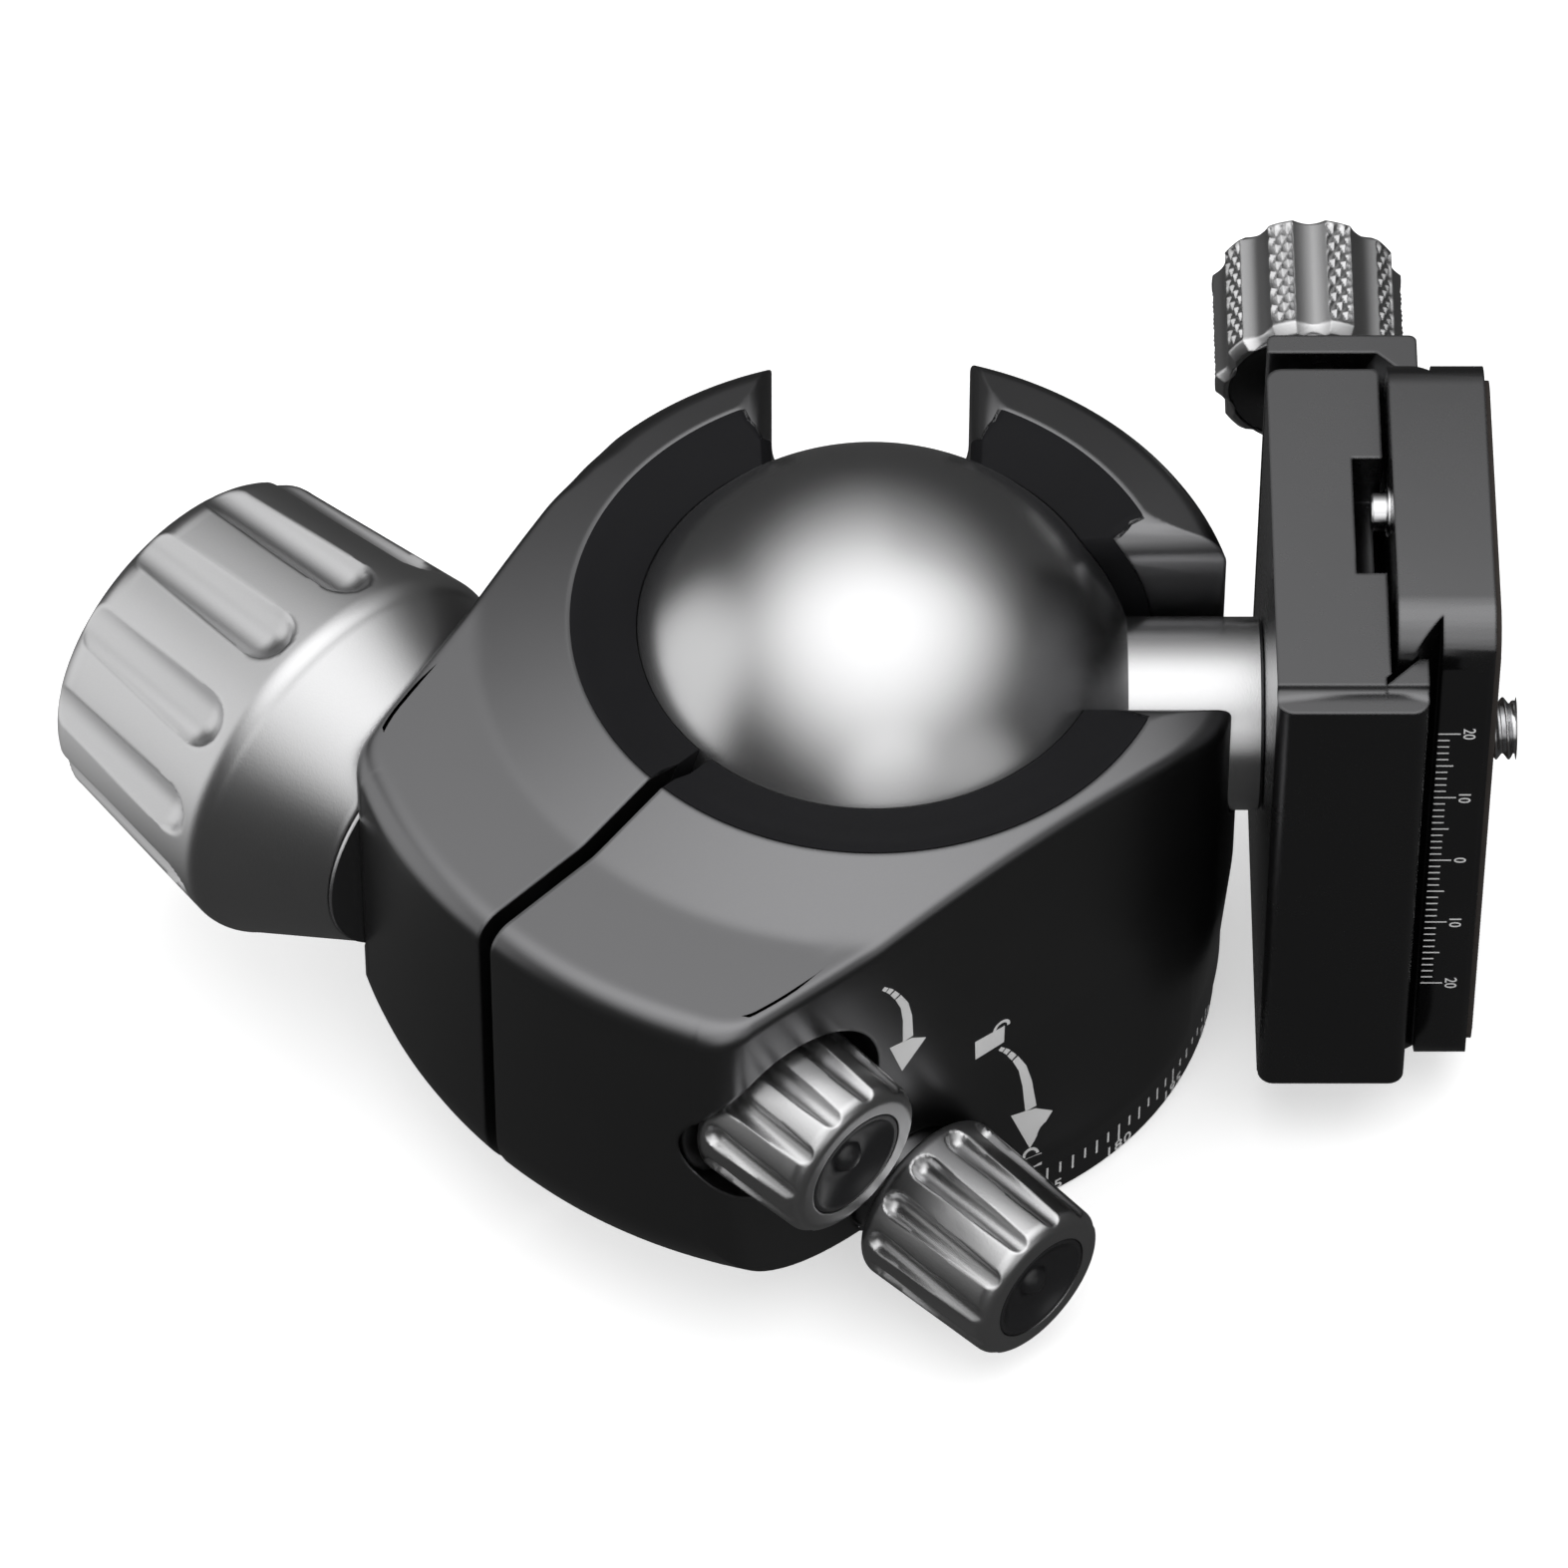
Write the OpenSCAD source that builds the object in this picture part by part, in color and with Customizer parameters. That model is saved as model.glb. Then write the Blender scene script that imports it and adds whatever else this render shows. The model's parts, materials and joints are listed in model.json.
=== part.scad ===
/* [Ball and stem] */
// Diameter of the ball
ball_d = 55; // [54:0.1:56]
// Height of the ball's centre above the tripod
ball_z = 40; // [39.6:0.1:43]
// Diameter of the stem that leaves the ball
stem_d = 19.6; // [17:0.1:19.8]
// Distance from the ball's centre to the clamp's underside
clamp_x = 39.4; // [39.2:0.1:44]

/* [Pan base] */
// Diameter of the base disc with the degree scale
base_d = 71.8; // [68:0.1:73]
// Thickness of the base disc
base_h = 6.3; // [5.8:0.1:6.4]
// Diameter of the tripod stud's hole, a nominal 3/8 inch
stud_d = 9.6; // [9.53:0.01:9.9]
// Diameter of the steel bushing round the tripod hole
bushing_d = 16; // [14:0.1:17]
// Diameter of the pivot hub
hub_d = 28.4; // [28:0.1:29]
// Outer diameter of the brake drum
drum_d = 59; // [58.4:0.1:59.4]
// Wall of the brake drum
drum_wall = 3.3; // [2.8:0.1:3.4]
// Height of the brake drum above the base disc
drum_h = 9.7; // [8:0.1:9.8]

/* [Housing] */
// Diameter of the round collar
rim_d = 74.4; // [74:0.1:75]
// Radius of the clamping lug's outer wall
lug_r = 54.3; // [53:0.1:56]
// Height of the collar's upper ring above the ball's centre
ring_z = 15.5; // [15.3:0.1:16]
// Height of the lug's flat top above the ball's centre
deck_z = 13; // [12.4:0.1:13.4]
// Radius where the collar's cone meets the flat top
deck_r = 40; // [39:0.1:42]
// Distance of the small knobs' flat from the axis
flat_off = 32.4; // [32.2:0.1:32.8]
// Direction of the small knobs' flat, in degrees
flat_dir = 37.9; // [37:0.1:39]
// Direction of the main knob's flat, in degrees
back_dir = 58.8; // [57:0.1:62]
// Height of the lug's underside above the tripod
lug_z = 8.8; // [8.4:0.1:9.4]
// Radius of the lug's lower edge
lug_edge = 11.7; // [9:0.1:12.5]
// Radius of the lug's two upright corners
lug_corner = 6; // [4:0.1:8]
// Radius of the collar's and the lug's upper edge
rim_edge = 2.6; // [2:0.1:3]
// Width of the two stem notches
notch_w = 20.3; // [20:0.1:21]
// Width of the clamping slit
slit_w = 1.7; // [1.2:0.1:2.4]
// Direction of the slit, in degrees
slit_dir = 225; // [224:1:226]

/* [Liner and seat] */
// Thickness of the friction liner
liner_t = 2.7; // [2.4:0.1:2.8]
// Height of the liner's top above the ball's centre
liner_top = 14.2; // [13.6:0.1:14.4]
// Depth of the liner's lower end below the ball's centre
liner_low = 7; // [5:0.1:8]
// Outer diameter of the lower seat ring
seat_d = 49.2; // [48.6:0.1:49.4]
// Width of the lower seat ring
seat_w = 4.6; // [4:0.1:4.8]

/* [Main lock] */
// Distance of the lock bolt from the vertical axis
lock_off = 38.95; // [38:0.05:40]
// Depth of the lock bolt below the ball's centre
lock_drop = 5; // [4:0.1:7]
// Diameter of the lock bolt
bolt_d = 8; // [6:0.1:8.4]
// Distance from the slit to the main knob's inner end
main_in = 24.4; // [24:0.1:25]
// Length of the main knob
main_l = 36.6; // [34:0.1:40]
// Diameter of the main knob at its inner end
main_neck_d = 29; // [26:0.1:30]
// Distance from the main knob's inner end to its widest ring
main_ridge = 13; // [12:0.1:15]
// Diameter of the main knob at its widest ring
main_d = 42.6; // [40:0.1:43]
// Diameter of the main knob at its outer end
main_end_d = 38; // [36:0.1:39]
// Number of flutes on each round knob
flutes = 12; // [8:1:14]

/* [Small knobs] */
// Diameter of a small knob at its inner end
small_d = 18.6; // [17:0.1:19]
// Diameter of a small knob at its outer end
small_end_d = 17.4; // [16.6:0.1:18.4]
// Distance from the slit to the friction knob's inner end
friction_in = 22.65; // [22.6:0.05:23]
// Length of the friction knob
friction_l = 13.8; // [13:0.1:16]
// Distance of the pan lock from the vertical axis
pan_off = 25; // [24.8:0.1:25.6]
// Depth of the pan lock below the ball's centre
pan_drop = 27; // [26.8:0.1:27.2]
// Distance from the slit to the pan knob's inner end
pan_in = 31.8; // [31.4:0.1:33]
// Length of the pan knob
pan_l = 17.1; // [16:0.1:19]

/* [Clamp] */
// Length of the quick-release clamp
clamp_l = 62; // [60:0.1:64]
// Distance from the stem's axis to the clamp's front face
clamp_front = 24.4; // [24:0.1:26]
// Distance from the stem's axis to the clamp's back face
clamp_back = 19.2; // [18.4:0.1:19.4]
// Thickness of the clamp under the plate
clamp_t = 11.2; // [11:0.1:12]
// Height of the dovetail jaws above the clamp's floor
jaw_h = 3.7; // [3.4:0.1:3.9]
// Distance from the stem's axis to the jaw's outer face
jaw_out = 23.7; // [23.6:0.1:25]
// Thickness of the moving jaw
jaw_t = 2.3; // [2:0.1:2.6]
// Diameter of the clamp knob
clamp_knob_d = 19.8; // [18:0.1:20]
// Distance from the stem's axis to the clamp knob's inner end
clamp_knob_y = 43.3; // [41:0.1:45]
// Length of the clamp knob
clamp_knob_l = 15.7; // [14:0.1:17]

/* [Plate] */
// Width of the dovetail plate, a standard 38 mm
plate_w = 38; // [37.8:0.05:38.1]
// Length of the plate
plate_l = 70; // [68:0.1:74]
// Gap between the clamp's floor and the plate
plate_gap = 0.7; // [0.6:0.05:0.9]
// Height of the plate from its underside to its top
plate_h = 9.6; // [9.4:0.1:11]
// Radius of the plate's corners
plate_corner = 5.3; // [3:0.1:7]
// Height of the rubber pad above the plate
pad_up = 0.6; // [0.4:0.05:1]
// Diameter of the camera screw, a nominal 1/4 inch
screw_d = 6.35; // [6.2:0.01:6.4]
// Height of the camera screw above the pad
screw_up = 3.8; // [3:0.1:5.5]

/* [Hidden] */
$fn = 96;

// Fits between pieces
run = 0.08; // radial clearance of a shaft that turns or slides
seat_fit = 0.03; // radial clearance of a piece that is pressed or screwed in
face_gap = 0.1; // gap between faces that turn on each other
air = 0.4; // free gap round a piece that moves inside another
over = 2; // overrun of every cut

// Colours
black = "#1c1d1f";
silver = "#c9cacc";
steel = "#9a9c9f";
bright = "#dfe0e2";
polymer = "#2c2c2e";

// Ball, cavity and notches
ball_r = ball_d / 2;
stem_r = stem_d / 2;
notch_r = notch_w / 2;
liner_in = ball_r + run;
liner_out = liner_in + liner_t;
cavity_r = liner_out + seat_fit;
entry_play = 0.2; // extra radius that lets the ball in from below
entry_r = ball_r + entry_play;
clamp_screw_r = 3; // radius of the screw that holds the clamp
clamp_screw_l = 12; // its length in the stem
clamp_screw_head_r = 5.8; // radius of its sunk head
clamp_screw_head_h = 2.8; // height of its sunk head
socket_r = 2.2; // radius of the hexagon in a screw's head
socket_h = 1.6; // depth of that hexagon

// Pan base and its bearing
base_r = base_d / 2;
hub_r = hub_d / 2;
drum_r = drum_d / 2;
drum_in = drum_r - drum_wall;
base_gap = 0.2; // gap between the base disc and the housing
base_edge = 0.5; // chamfer of the base disc
cup_floor_t = 2.5; // thickness of the lower cup's floor
washer_t = 0.4; // thickness of the thrust washers
cup_floor = base_h + base_gap + cup_floor_t;
hub_top = cup_floor + face_gap + washer_t;
keeper_r = 18.5; // outer radius of the retaining ring
keeper_in = 6; // inner radius of the retaining ring
keeper_t = 1.6; // thickness of the retaining ring
flange_r = 9.2; // radius of the bushing's flange
flange_h = 1.4; // height of the bushing's flange
glide_in = 17; // inner radius of the glide ring
glide_w = 5.5; // width of the glide ring
glide_sink = 1.2; // depth of the glide ring's groove
keeper_screws = 4; // number of screws in the retaining ring
keeper_screw_c = 11.6; // radius of their circle
keeper_screw_r = 1.25; // radius of each screw
keeper_screw_l = 6; // length of each screw
keeper_head_r = 2.2; // radius of each sunk head
keeper_head_h = 1; // height of each sunk head

// Housing, from the ball's centre
rim_r = rim_d / 2;
base_low = base_h + base_gap - ball_z;
lug_low = lug_z - ball_z;
foot_in = 0.9; // how far the collar draws in at its foot
back_in = 0.8; // how far the main knob's flat lies inside the collar's wall
corner_out = 0.05; // how far the round corners run past the round wall
waist_drop = 18; // depth below the ball's centre where it starts to draw in
mouth_r = 28.9; // radius of the funnel's upper edge
mouth_drop = 0.3; // depth of the bright chamfer inside the upper ring
bevel_r = 30.7; // radius of the upper ring
foot_h = 3; // height of the foot's upright wall
foot_disc_h = 4.5; // height of the round foot under the flat
flat_step = 0.05; // how far the collar's flat stands proud of the lug's
slit_floor_h = 7; // height of the closed ring under the slit
groove_top = base_h + drum_h + air - ball_z;
cone_fall_share = (ring_z - deck_z) / (deck_r - bevel_r);
rim_top = ring_z - (rim_r - rim_edge - bevel_r) * cone_fall_share;
reach = 2 * lug_r;

// Lower cup and ball seat, from the ball's centre
cup_top = -notch_r - air;
cup_low = base_low;
cup_inner_floor = cup_floor - ball_z;
seat_r = seat_d / 2;
seat_top = -sqrt(pow(ball_r, 2) - pow(seat_r, 2)) - air;
seat_h = 7.6; // height of the seat ring
spring_h = 2.6; // height of the seat spring
spring_t = 0.9; // thickness of the seat spring
shelf_z = seat_top - seat_h - spring_h;

// Main lock, along the bolt's axis from the slit
bolt_r = bolt_d / 2;
main_r = main_d / 2;
main_neck_r = main_neck_d / 2;
main_end_r = main_end_d / 2;
main_seat = main_in - face_gap - washer_t - face_gap;
bush_wall = 2; // wall of the bolt's bush
bush_l = 9; // length of the bolt's bush
nut_in = 10; // distance from the slit to the nut
nut_h = 6; // height of the nut
nut_r = 7.4; // radius of the nut over its corners
bolt_end = 15; // distance from the slit to the bolt's end
knob_grip_l = 12; // length of the bolt inside the main knob
friction_screw_r = 3; // radius of the friction screw
collar_t = 1.2; // thickness of the friction collar's flange
collar_r = 10.2; // radius of the friction collar's flange
collar_body_r = 8; // radius of the friction collar's body
friction_seat = friction_in - face_gap - collar_t;
small_grip_l = 5; // length of a small knob's screw inside the knob

// Pan lock, along its axis from the slit
drum_cross = sqrt(pow(drum_r, 2) - pow(pan_off, 2)); // where the axis meets the drum
shoe_tip_l = 8.66; // length of the shoe's thin tip past that point
shoe_butt_l = 3.74; // length of the shoe behind that point
shoe_in = drum_cross - shoe_tip_l;
shoe_out = drum_cross + shoe_butt_l;
shoe_r = 3.9; // radius of the brake shoe
shoe_travel = 0.5; // free way between the shoe and the screw
pan_screw_r = 3; // radius of the pan lock's screw
neck_body_r = 4.6; // radius of the neck's body inside the housing
neck_body_l = 6; // length of that body
neck_r = 6.5; // radius of the neck at the housing
neck_end_r = 5.8; // radius of the neck at the knob
neck_seat = 28.4; // distance from the slit to the neck's seat

// Round knobs
small_r = small_d / 2;
small_end_r = small_end_d / 2;
small_edge = 1.5; // rounding of a small knob's ends
main_edge = 3.2; // rounding of the main knob's outer end
small_flute_r = 1.35; // radius of a small knob's flutes
small_flute_deep = 1.25; // depth of a small knob's flutes
small_flute_in = 3; // distance from a small knob's inner end to its flutes
main_flute_r = 3; // radius of the main knob's flutes
main_flute_deep = 2; // depth of the main knob's flutes
main_flute_in = 17.6; // distance from the main knob's inner end to its flutes
flute_end_share = 0.9; // where the flutes run out, as a share of the length
cap_share = 0.68; // radius of a knob's dished cap, as a share of the end
cap_h_share = 0.28; // depth of the cap, as a share of the end's radius
cap_floor_share = 0.5; // thickness of the cap's floor, as a share of its depth
button_share = 0.3; // radius of the cap's button, as a share of the cap

// Clamp, from the ball's centre
clamp_floor = clamp_x + clamp_t;
jaw_top = clamp_floor + jaw_h;
plate_low = clamp_floor + plate_gap;
plate_half = plate_w / 2;
flange_t = 1.2; // thickness of the plate's lower flange
dove_h = 3.2; // height of the plate's sloped flank
jaw_fit = 0.3; // gap between the plate's flank and a jaw
jaw_shift = jaw_fit * sqrt(2);
nose = 0.9; // height of a jaw's upright lip
flank_y = plate_half + plate_low + flange_t + jaw_shift;
relief = 0.5; // depth of the corner groove in the clamp's floor
clamp_edge = 1.6; // rounding of the clamp's long edges
clamp_end_edge = 1.2; // rounding of the clamp's end corners
channel_half = 7.5; // half width of the channel in the clamp's floor
channel_h = 0.8; // depth of that channel
pocket_l = 6.8; // length of the pockets at the clamp's ends
pocket_h = 3; // depth of those pockets
jaw_low_gap = 0.2; // how far the jaw stays short of the underside
jaw_x = clamp_x + jaw_low_gap;
jaw_rise = 0.3; // how far the jaw rises above the fixed jaw
jaw_in = jaw_out - jaw_t;
jaw_edge = 0.8; // rounding of the jaw's outer edges
knob_up = 6.3; // height of the clamp knob's axis above the underside
knob_x = clamp_x + knob_up;
jaw_screw_r = 2.5; // radius of the jaw screw
jaw_screw_in = 9; // distance from the stem's axis to the screw's end
pin_r = 1.5; // radius of a guide pin
pin_z = 21; // distance of a guide pin from the middle
pin_in = 9; // distance from the stem's axis to a pin's end
clip_t = 0.8; // thickness of the jaw clip
clip_r = 4.4; // radius of the jaw clip
jaw_washer_r = 5.6; // radius of the jaw's washer
jaw_washer_t = 0.8; // thickness of the jaw's washer
hub_neck_r = 4.5; // radius of the clamp knob's neck
hub_disc_share = 0.86; // radius of the hub's disc, as a share of the knob
hub_disc_t = 0.9; // thickness of the hub's disc
hub_core_r = 5; // radius of the hub inside the knob
clamp_knob_r = clamp_knob_d / 2;
clamp_knob_edge = 0.9; // chamfer of the clamp knob
grip_flute_r = 1.7; // radius of the clamp knob's flutes
grip_flute_deep = 0.55; // depth of the clamp knob's flutes

// Plate, from the ball's centre
plate_top = plate_low + plate_h;
waist_x = plate_low + flange_t + dove_h;
plate_edge = 0.6; // chamfer of the plate's long edges
pad_sink = 0.5; // depth of the pad's recess
pad_rim = 1.4; // rim of the plate round the pad
slot_half = 9; // how far the camera screw slides each way
head_r = 7; // radius of the camera screw's head
head_h = 1.6; // height of the camera screw's head
head_gap = 0.3; // depth of that head inside the plate
screw_drop = 2.4; // how far the camera screw stands off the middle
screw_r = screw_d / 2;
screw_neck_r = 2.7; // radius of the camera screw's neck inside the plate
slider_t = 0.8; // thickness of the washer under the head
bore_x = plate_low + head_gap + head_h + face_gap + slider_t + face_gap;
coin_w = 1.4; // width of the coin slot
coin_h = 0.9; // depth of the coin slot
stop_in = 3.5; // distance of a stop screw from the plate's end
stop_z = plate_l / 2 - stop_in;
stop_r = 2.5; // radius of a stop screw's head
stop_tip_r = 1.9; // radius of a stop screw's tip
stop_shank_r = 1.5; // radius of a stop screw's thread
stop_tip = 1.4; // how far the tip reaches below the clamp's floor
stop_sink = 0.7; // depth of the head inside the plate
stop_l = 5; // length of a stop screw's thread

// Points of an arc, from angle a0 to angle a1
function arc(x, y, r, a0, a1, n = 6) = [for (i = [0 : n])
    [x + r * cos(a0 + (a1 - a0) * i / n), y + r * sin(a0 + (a1 - a0) * i / n)]];

module at_ball() {
    translate([0, 0, ball_z]) children();
}

module tube(outer, inner, low, high) {
    difference() {
        translate([0, 0, low]) cylinder(r = outer, h = high - low);
        translate([0, 0, low - over]) cylinder(r = inner, h = high - low + 2 * over);
    }
}

module rod(r, low, high) {
    translate([0, 0, low]) cylinder(r = r, h = high - low);
}

// A frame whose z axis lies along a lock's axis, from the slit to the small knobs
module on_lock(off, drop) {
    at_ball() rotate([0, 0, slit_dir + 90]) translate([0, -off, -drop])
        rotate([0, 90, 0]) children();
}

module on_main() {
    on_lock(lock_off, lock_drop) mirror([0, 0, 1]) children();
}

// A frame whose z axis points along +Y at the clamp knob
module on_jaw() {
    at_ball() translate([knob_x, 0, 0]) rotate([-90, 0, 0]) children();
}

// A frame whose z axis points along +X
module on_stem(z = 0) {
    at_ball() translate([0, 0, z]) rotate([0, 90, 0]) children();
}

// Pan base
module pan_base() {
    color(black) difference() {
        union() {
            rotate_extrude() polygon([[0, 0], [base_r - base_edge, 0], [base_r, base_edge],
                [base_r, base_h - base_edge], [base_r - base_edge, base_h], [0, base_h]]);
            rod(hub_r, 0, hub_top);
            tube(drum_r, drum_in, 0, base_h + drum_h);
        }
        tube(glide_in + glide_w, glide_in, base_h - glide_sink, base_h + over);
        rod(bushing_d / 2 + seat_fit, -over, hub_top + over);
        rod(flange_r + seat_fit, hub_top - flange_h, hub_top + over);
        keeper_bolts(keeper_screw_r + seat_fit);
    }
}

// Steel bushing that takes the tripod's stud
module tripod_bushing() {
    color(steel) difference() {
        union() {
            rod(bushing_d / 2, 0, hub_top);
            rod(flange_r, hub_top - flange_h, hub_top);
        }
        rod(stud_d / 2, -over, hub_top + over);
    }
}

module glide_ring() {
    color("ivory") tube(glide_in + glide_w - seat_fit, glide_in + seat_fit,
        base_h - glide_sink, base_h + base_gap - face_gap);
}

module pan_washer() {
    color(bright) tube(keeper_r, hub_r + run, cup_floor + face_gap, hub_top);
}

module retaining_ring() {
    color(steel) difference() {
        tube(keeper_r, keeper_in, hub_top, hub_top + keeper_t);
        keeper_bolts(keeper_screw_r + run);
        keeper_heads(run);
    }
}

module keeper_places() {
    for (i = [0 : keeper_screws - 1])
        rotate([0, 0, 360 * i / keeper_screws]) translate([keeper_screw_c, 0, 0]) children();
}

module keeper_bolts(r) {
    keeper_places() rod(r, hub_top + keeper_t - keeper_screw_l, hub_top + keeper_t);
}

module keeper_heads(play) {
    keeper_places() translate([0, 0, hub_top + keeper_t - keeper_head_h])
        cylinder(r1 = keeper_screw_r + play, r2 = keeper_head_r + play, h = keeper_head_h);
}

module retainer_screws() {
    color(bright) difference() {
        union() {
            keeper_bolts(keeper_screw_r);
            keeper_heads(0);
        }
        keeper_places() rod(keeper_screw_r, hub_top + keeper_t - keeper_head_h / 2,
            hub_top + keeper_t + over, $fn = 6);
    }
}

// Plan of the lug: two flats and two round corners, open towards its round wall
function across(dir, off) = off * [cos(dir), sin(dir)];
function corner_at(dir, off, turn) = across(dir, off - lug_corner) + across(dir + turn,
    sqrt(pow(lug_r + corner_out - lug_corner, 2) - pow(off - lug_corner, 2)));
function bearing(p) = atan2(p.y, p.x);

module lug_plan() {
    back = back_dir + 90;
    front = flat_dir - 90 + 360;
    back_off = rim_r - back_in;
    back_corner = corner_at(back, back_off, 90);
    front_corner = corner_at(front, flat_off, -90);
    back_end = bearing(back_corner) + 360;
    front_start = bearing(front_corner) + 360;
    polygon(concat([[0, 0], across(back, back_off)],
        arc(back_corner.x, back_corner.y, lug_corner, back, back_end),
        [across(back_end, reach), across(front_start, reach)],
        arc(front_corner.x, front_corner.y, lug_corner, front_start, front),
        [across(front, flat_off) + across(front + 90,
        sqrt(pow(rim_r, 2) - pow(flat_off, 2)) - over)]));
}

module lug() {
    intersection() {
        translate([0, 0, lug_low]) linear_extrude(ring_z - lug_low) lug_plan();
        rotate_extrude() polygon(concat([[0, lug_low]],
            arc(lug_r - lug_edge, lug_low + lug_edge, lug_edge, -90, 0),
            arc(lug_r - rim_edge, deck_z - rim_edge, rim_edge, 0, 90),
            [[deck_r, deck_z], [bevel_r, ring_z], [0, ring_z]]));
    }
}

module collar() {
    difference() {
        rotate_extrude() polygon(concat([[0, base_low], [rim_r - foot_in, base_low],
            [rim_r - foot_in, base_low + foot_h], [rim_r, -waist_drop]],
            arc(rim_r - rim_edge, rim_top - rim_edge, rim_edge, 0, 90),
            [[bevel_r, ring_z], [0, ring_z]]));
        rotate([0, 0, flat_dir - 90]) translate([flat_off + flat_step, -reach,
            base_low + foot_disc_h]) cube([reach, 2 * reach, reach]);
        rotate([0, 0, back_dir + 90]) translate([rim_r - back_in + flat_step, -reach,
            lug_low]) cube([reach, 2 * reach, reach]);
    }
}

// Everything that the ball, its liner and the lower cup take up
module cavity() {
    mouth_in = sqrt(pow(cavity_r, 2) - pow(liner_top, 2));
    mouth_z = ring_z - mouth_drop;
    slope_share = (mouth_r - mouth_in) / (mouth_z - liner_top);
    difference() {
        sphere(r = cavity_r);
        rod(reach, -reach, -liner_low);
    }
    rotate_extrude() polygon([[0, base_low - over], [drum_r + air, base_low - over],
        [drum_r + air, groove_top], [entry_r, groove_top], [entry_r, over - liner_low],
        [0, over - liner_low]]);
    rotate_extrude() polygon([[0, liner_top - over],
        [mouth_in - over * slope_share, liner_top - over], [mouth_r, mouth_z],
        [bevel_r, ring_z], [bevel_r, ring_z + over], [0, ring_z + over]]);
}

// One notch for the stem, open at the top
module notch(dir) {
    rotate([0, 0, dir]) {
        rotate([0, 90, 0]) rod(notch_r, stem_r, reach);
        translate([stem_r, -notch_r, 0]) cube([reach, notch_w, reach]);
    }
}

module slit() {
    rotate([0, 0, slit_dir]) {
        translate([stem_r, -slit_w / 2, base_low + slit_floor_h])
            cube([reach, slit_w, reach]);
        translate([rim_r, -slit_w / 2, base_low]) cube([reach, slit_w, reach]);
    }
}

module housing() {
    color(black) difference() {
        at_ball() difference() {
            union() {
                collar();
                lug();
            }
            cavity();
            notch(0);
            notch(90);
            slit();
        }
        on_main() {
            rod(bolt_r + run, -nut_in, main_seat + over);
            rod(bolt_r + bush_wall + seat_fit, main_seat - bush_l, main_seat + over);
            rod(main_neck_r + air, main_seat, main_in + over);
            translate([0, 0, main_in]) cylinder(r1 = main_neck_r + air,
                r2 = main_r + air, h = main_ridge);
            rod(main_r + air, main_in + main_ridge, reach);
        }
        on_lock(lock_off, lock_drop) {
            rod(nut_r + seat_fit, nut_in, nut_in + nut_h, $fn = 6);
            rod(collar_body_r + seat_fit, nut_in + nut_h, reach);
            rod(collar_r + seat_fit, friction_seat, reach);
        }
        on_lock(pan_off, pan_drop) {
            rod(shoe_r + run, shoe_in - air, shoe_out + shoe_travel);
            rod(pan_screw_r + run, shoe_out, reach);
            rod(neck_body_r + seat_fit, neck_seat - neck_body_l, reach);
            rod(neck_r + seat_fit, neck_seat, reach);
            rod(small_r + air, pan_in - air, reach);
        }
    }
}

// Threaded cup that closes the housing from below and turns on the hub
module lower_cup() {
    color(black) at_ball() difference() {
        rotate_extrude() polygon([[hub_r + run, cup_low], [drum_in - air, cup_low],
            [drum_in - air, groove_top], [entry_r - seat_fit, groove_top],
            [entry_r - seat_fit, cup_top], [seat_r + run, cup_top],
            [seat_r + run, shelf_z], [keeper_r + air, shelf_z],
            [keeper_r + air, cup_inner_floor], [hub_r + run, cup_inner_floor]]);
        sphere(r = ball_r + air);
    }
}

// Conical spring that holds the seat against the ball
module seat_spring() {
    color(steel) at_ball() rotate_extrude() polygon([[seat_r - spring_t, shelf_z],
        [seat_r, shelf_z], [seat_r - seat_w + spring_t, shelf_z + spring_h],
        [seat_r - seat_w, shelf_z + spring_h],
        [seat_r - seat_w, shelf_z + spring_h - spring_t / 2]]);
}

module ball_seat() {
    color(polymer) at_ball() difference() {
        tube(seat_r, seat_r - seat_w, seat_top - seat_h, seat_top);
        sphere(r = ball_r + run);
    }
}

// Liner shell between two directions
module liner_part(from, to) {
    color(polymer) at_ball() difference() {
        intersection() {
            sphere(r = liner_out);
            rod(liner_out, -liner_low, liner_top - face_gap);
            linear_extrude(reach, center = true) polygon([[0, 0], across(from, reach),
                across((from + to) / 2, reach), across(to, reach)]);
        }
        sphere(r = liner_in);
        notch(0);
        notch(90);
        slit();
    }
}

module liner_rear() {
    liner_part(0, 90);
}

module liner_left() {
    liner_part(90, slit_dir);
}

module liner_front() {
    liner_part(slit_dir, 360);
}

module ball_and_stem() {
    color(silver) difference() {
        union() {
            at_ball() sphere(r = ball_r);
            on_stem() rod(stem_r, 0, clamp_x - face_gap);
        }
        on_stem() rod(clamp_screw_r + run, clamp_x - clamp_screw_l - air, clamp_x + over);
    }
}

// Main lock
module bolt_bush() {
    color("goldenrod") on_main()
        tube(bolt_r + bush_wall, bolt_r + run, main_seat - bush_l, main_seat);
}

module thrust_washer() {
    color(bright) on_main()
        tube(main_neck_r - air, bolt_r + run, main_seat, main_seat + washer_t);
}

module tension_nut() {
    color(steel) on_lock(lock_off, lock_drop) difference() {
        rod(nut_r, nut_in, nut_in + nut_h, $fn = 6);
        rod(bolt_r + run, nut_in - over, nut_in + nut_h + over);
    }
}

module clamp_bolt() {
    color(steel) on_main() rod(bolt_r, -bolt_end, main_in + knob_grip_l);
}

// Grooves that start round and deep, and run out towards the knob's outer end
module knob_flutes(first_r, last_r, first_z, last_z, flute_r, deep) {
    first = first_r - deep + flute_r;
    lean = atan((last_r + flute_r - first) / (last_z - first_z));
    for (i = [0 : flutes - 1])
        rotate([0, 0, 360 * (i + 1 / 2) / flutes]) translate([first, 0, first_z])
            rotate([0, lean, 0]) {
                sphere(r = flute_r, $fn = 48);
                cylinder(r = flute_r, h = 2 * (last_z - first_z), $fn = 48);
            }
}

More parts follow.
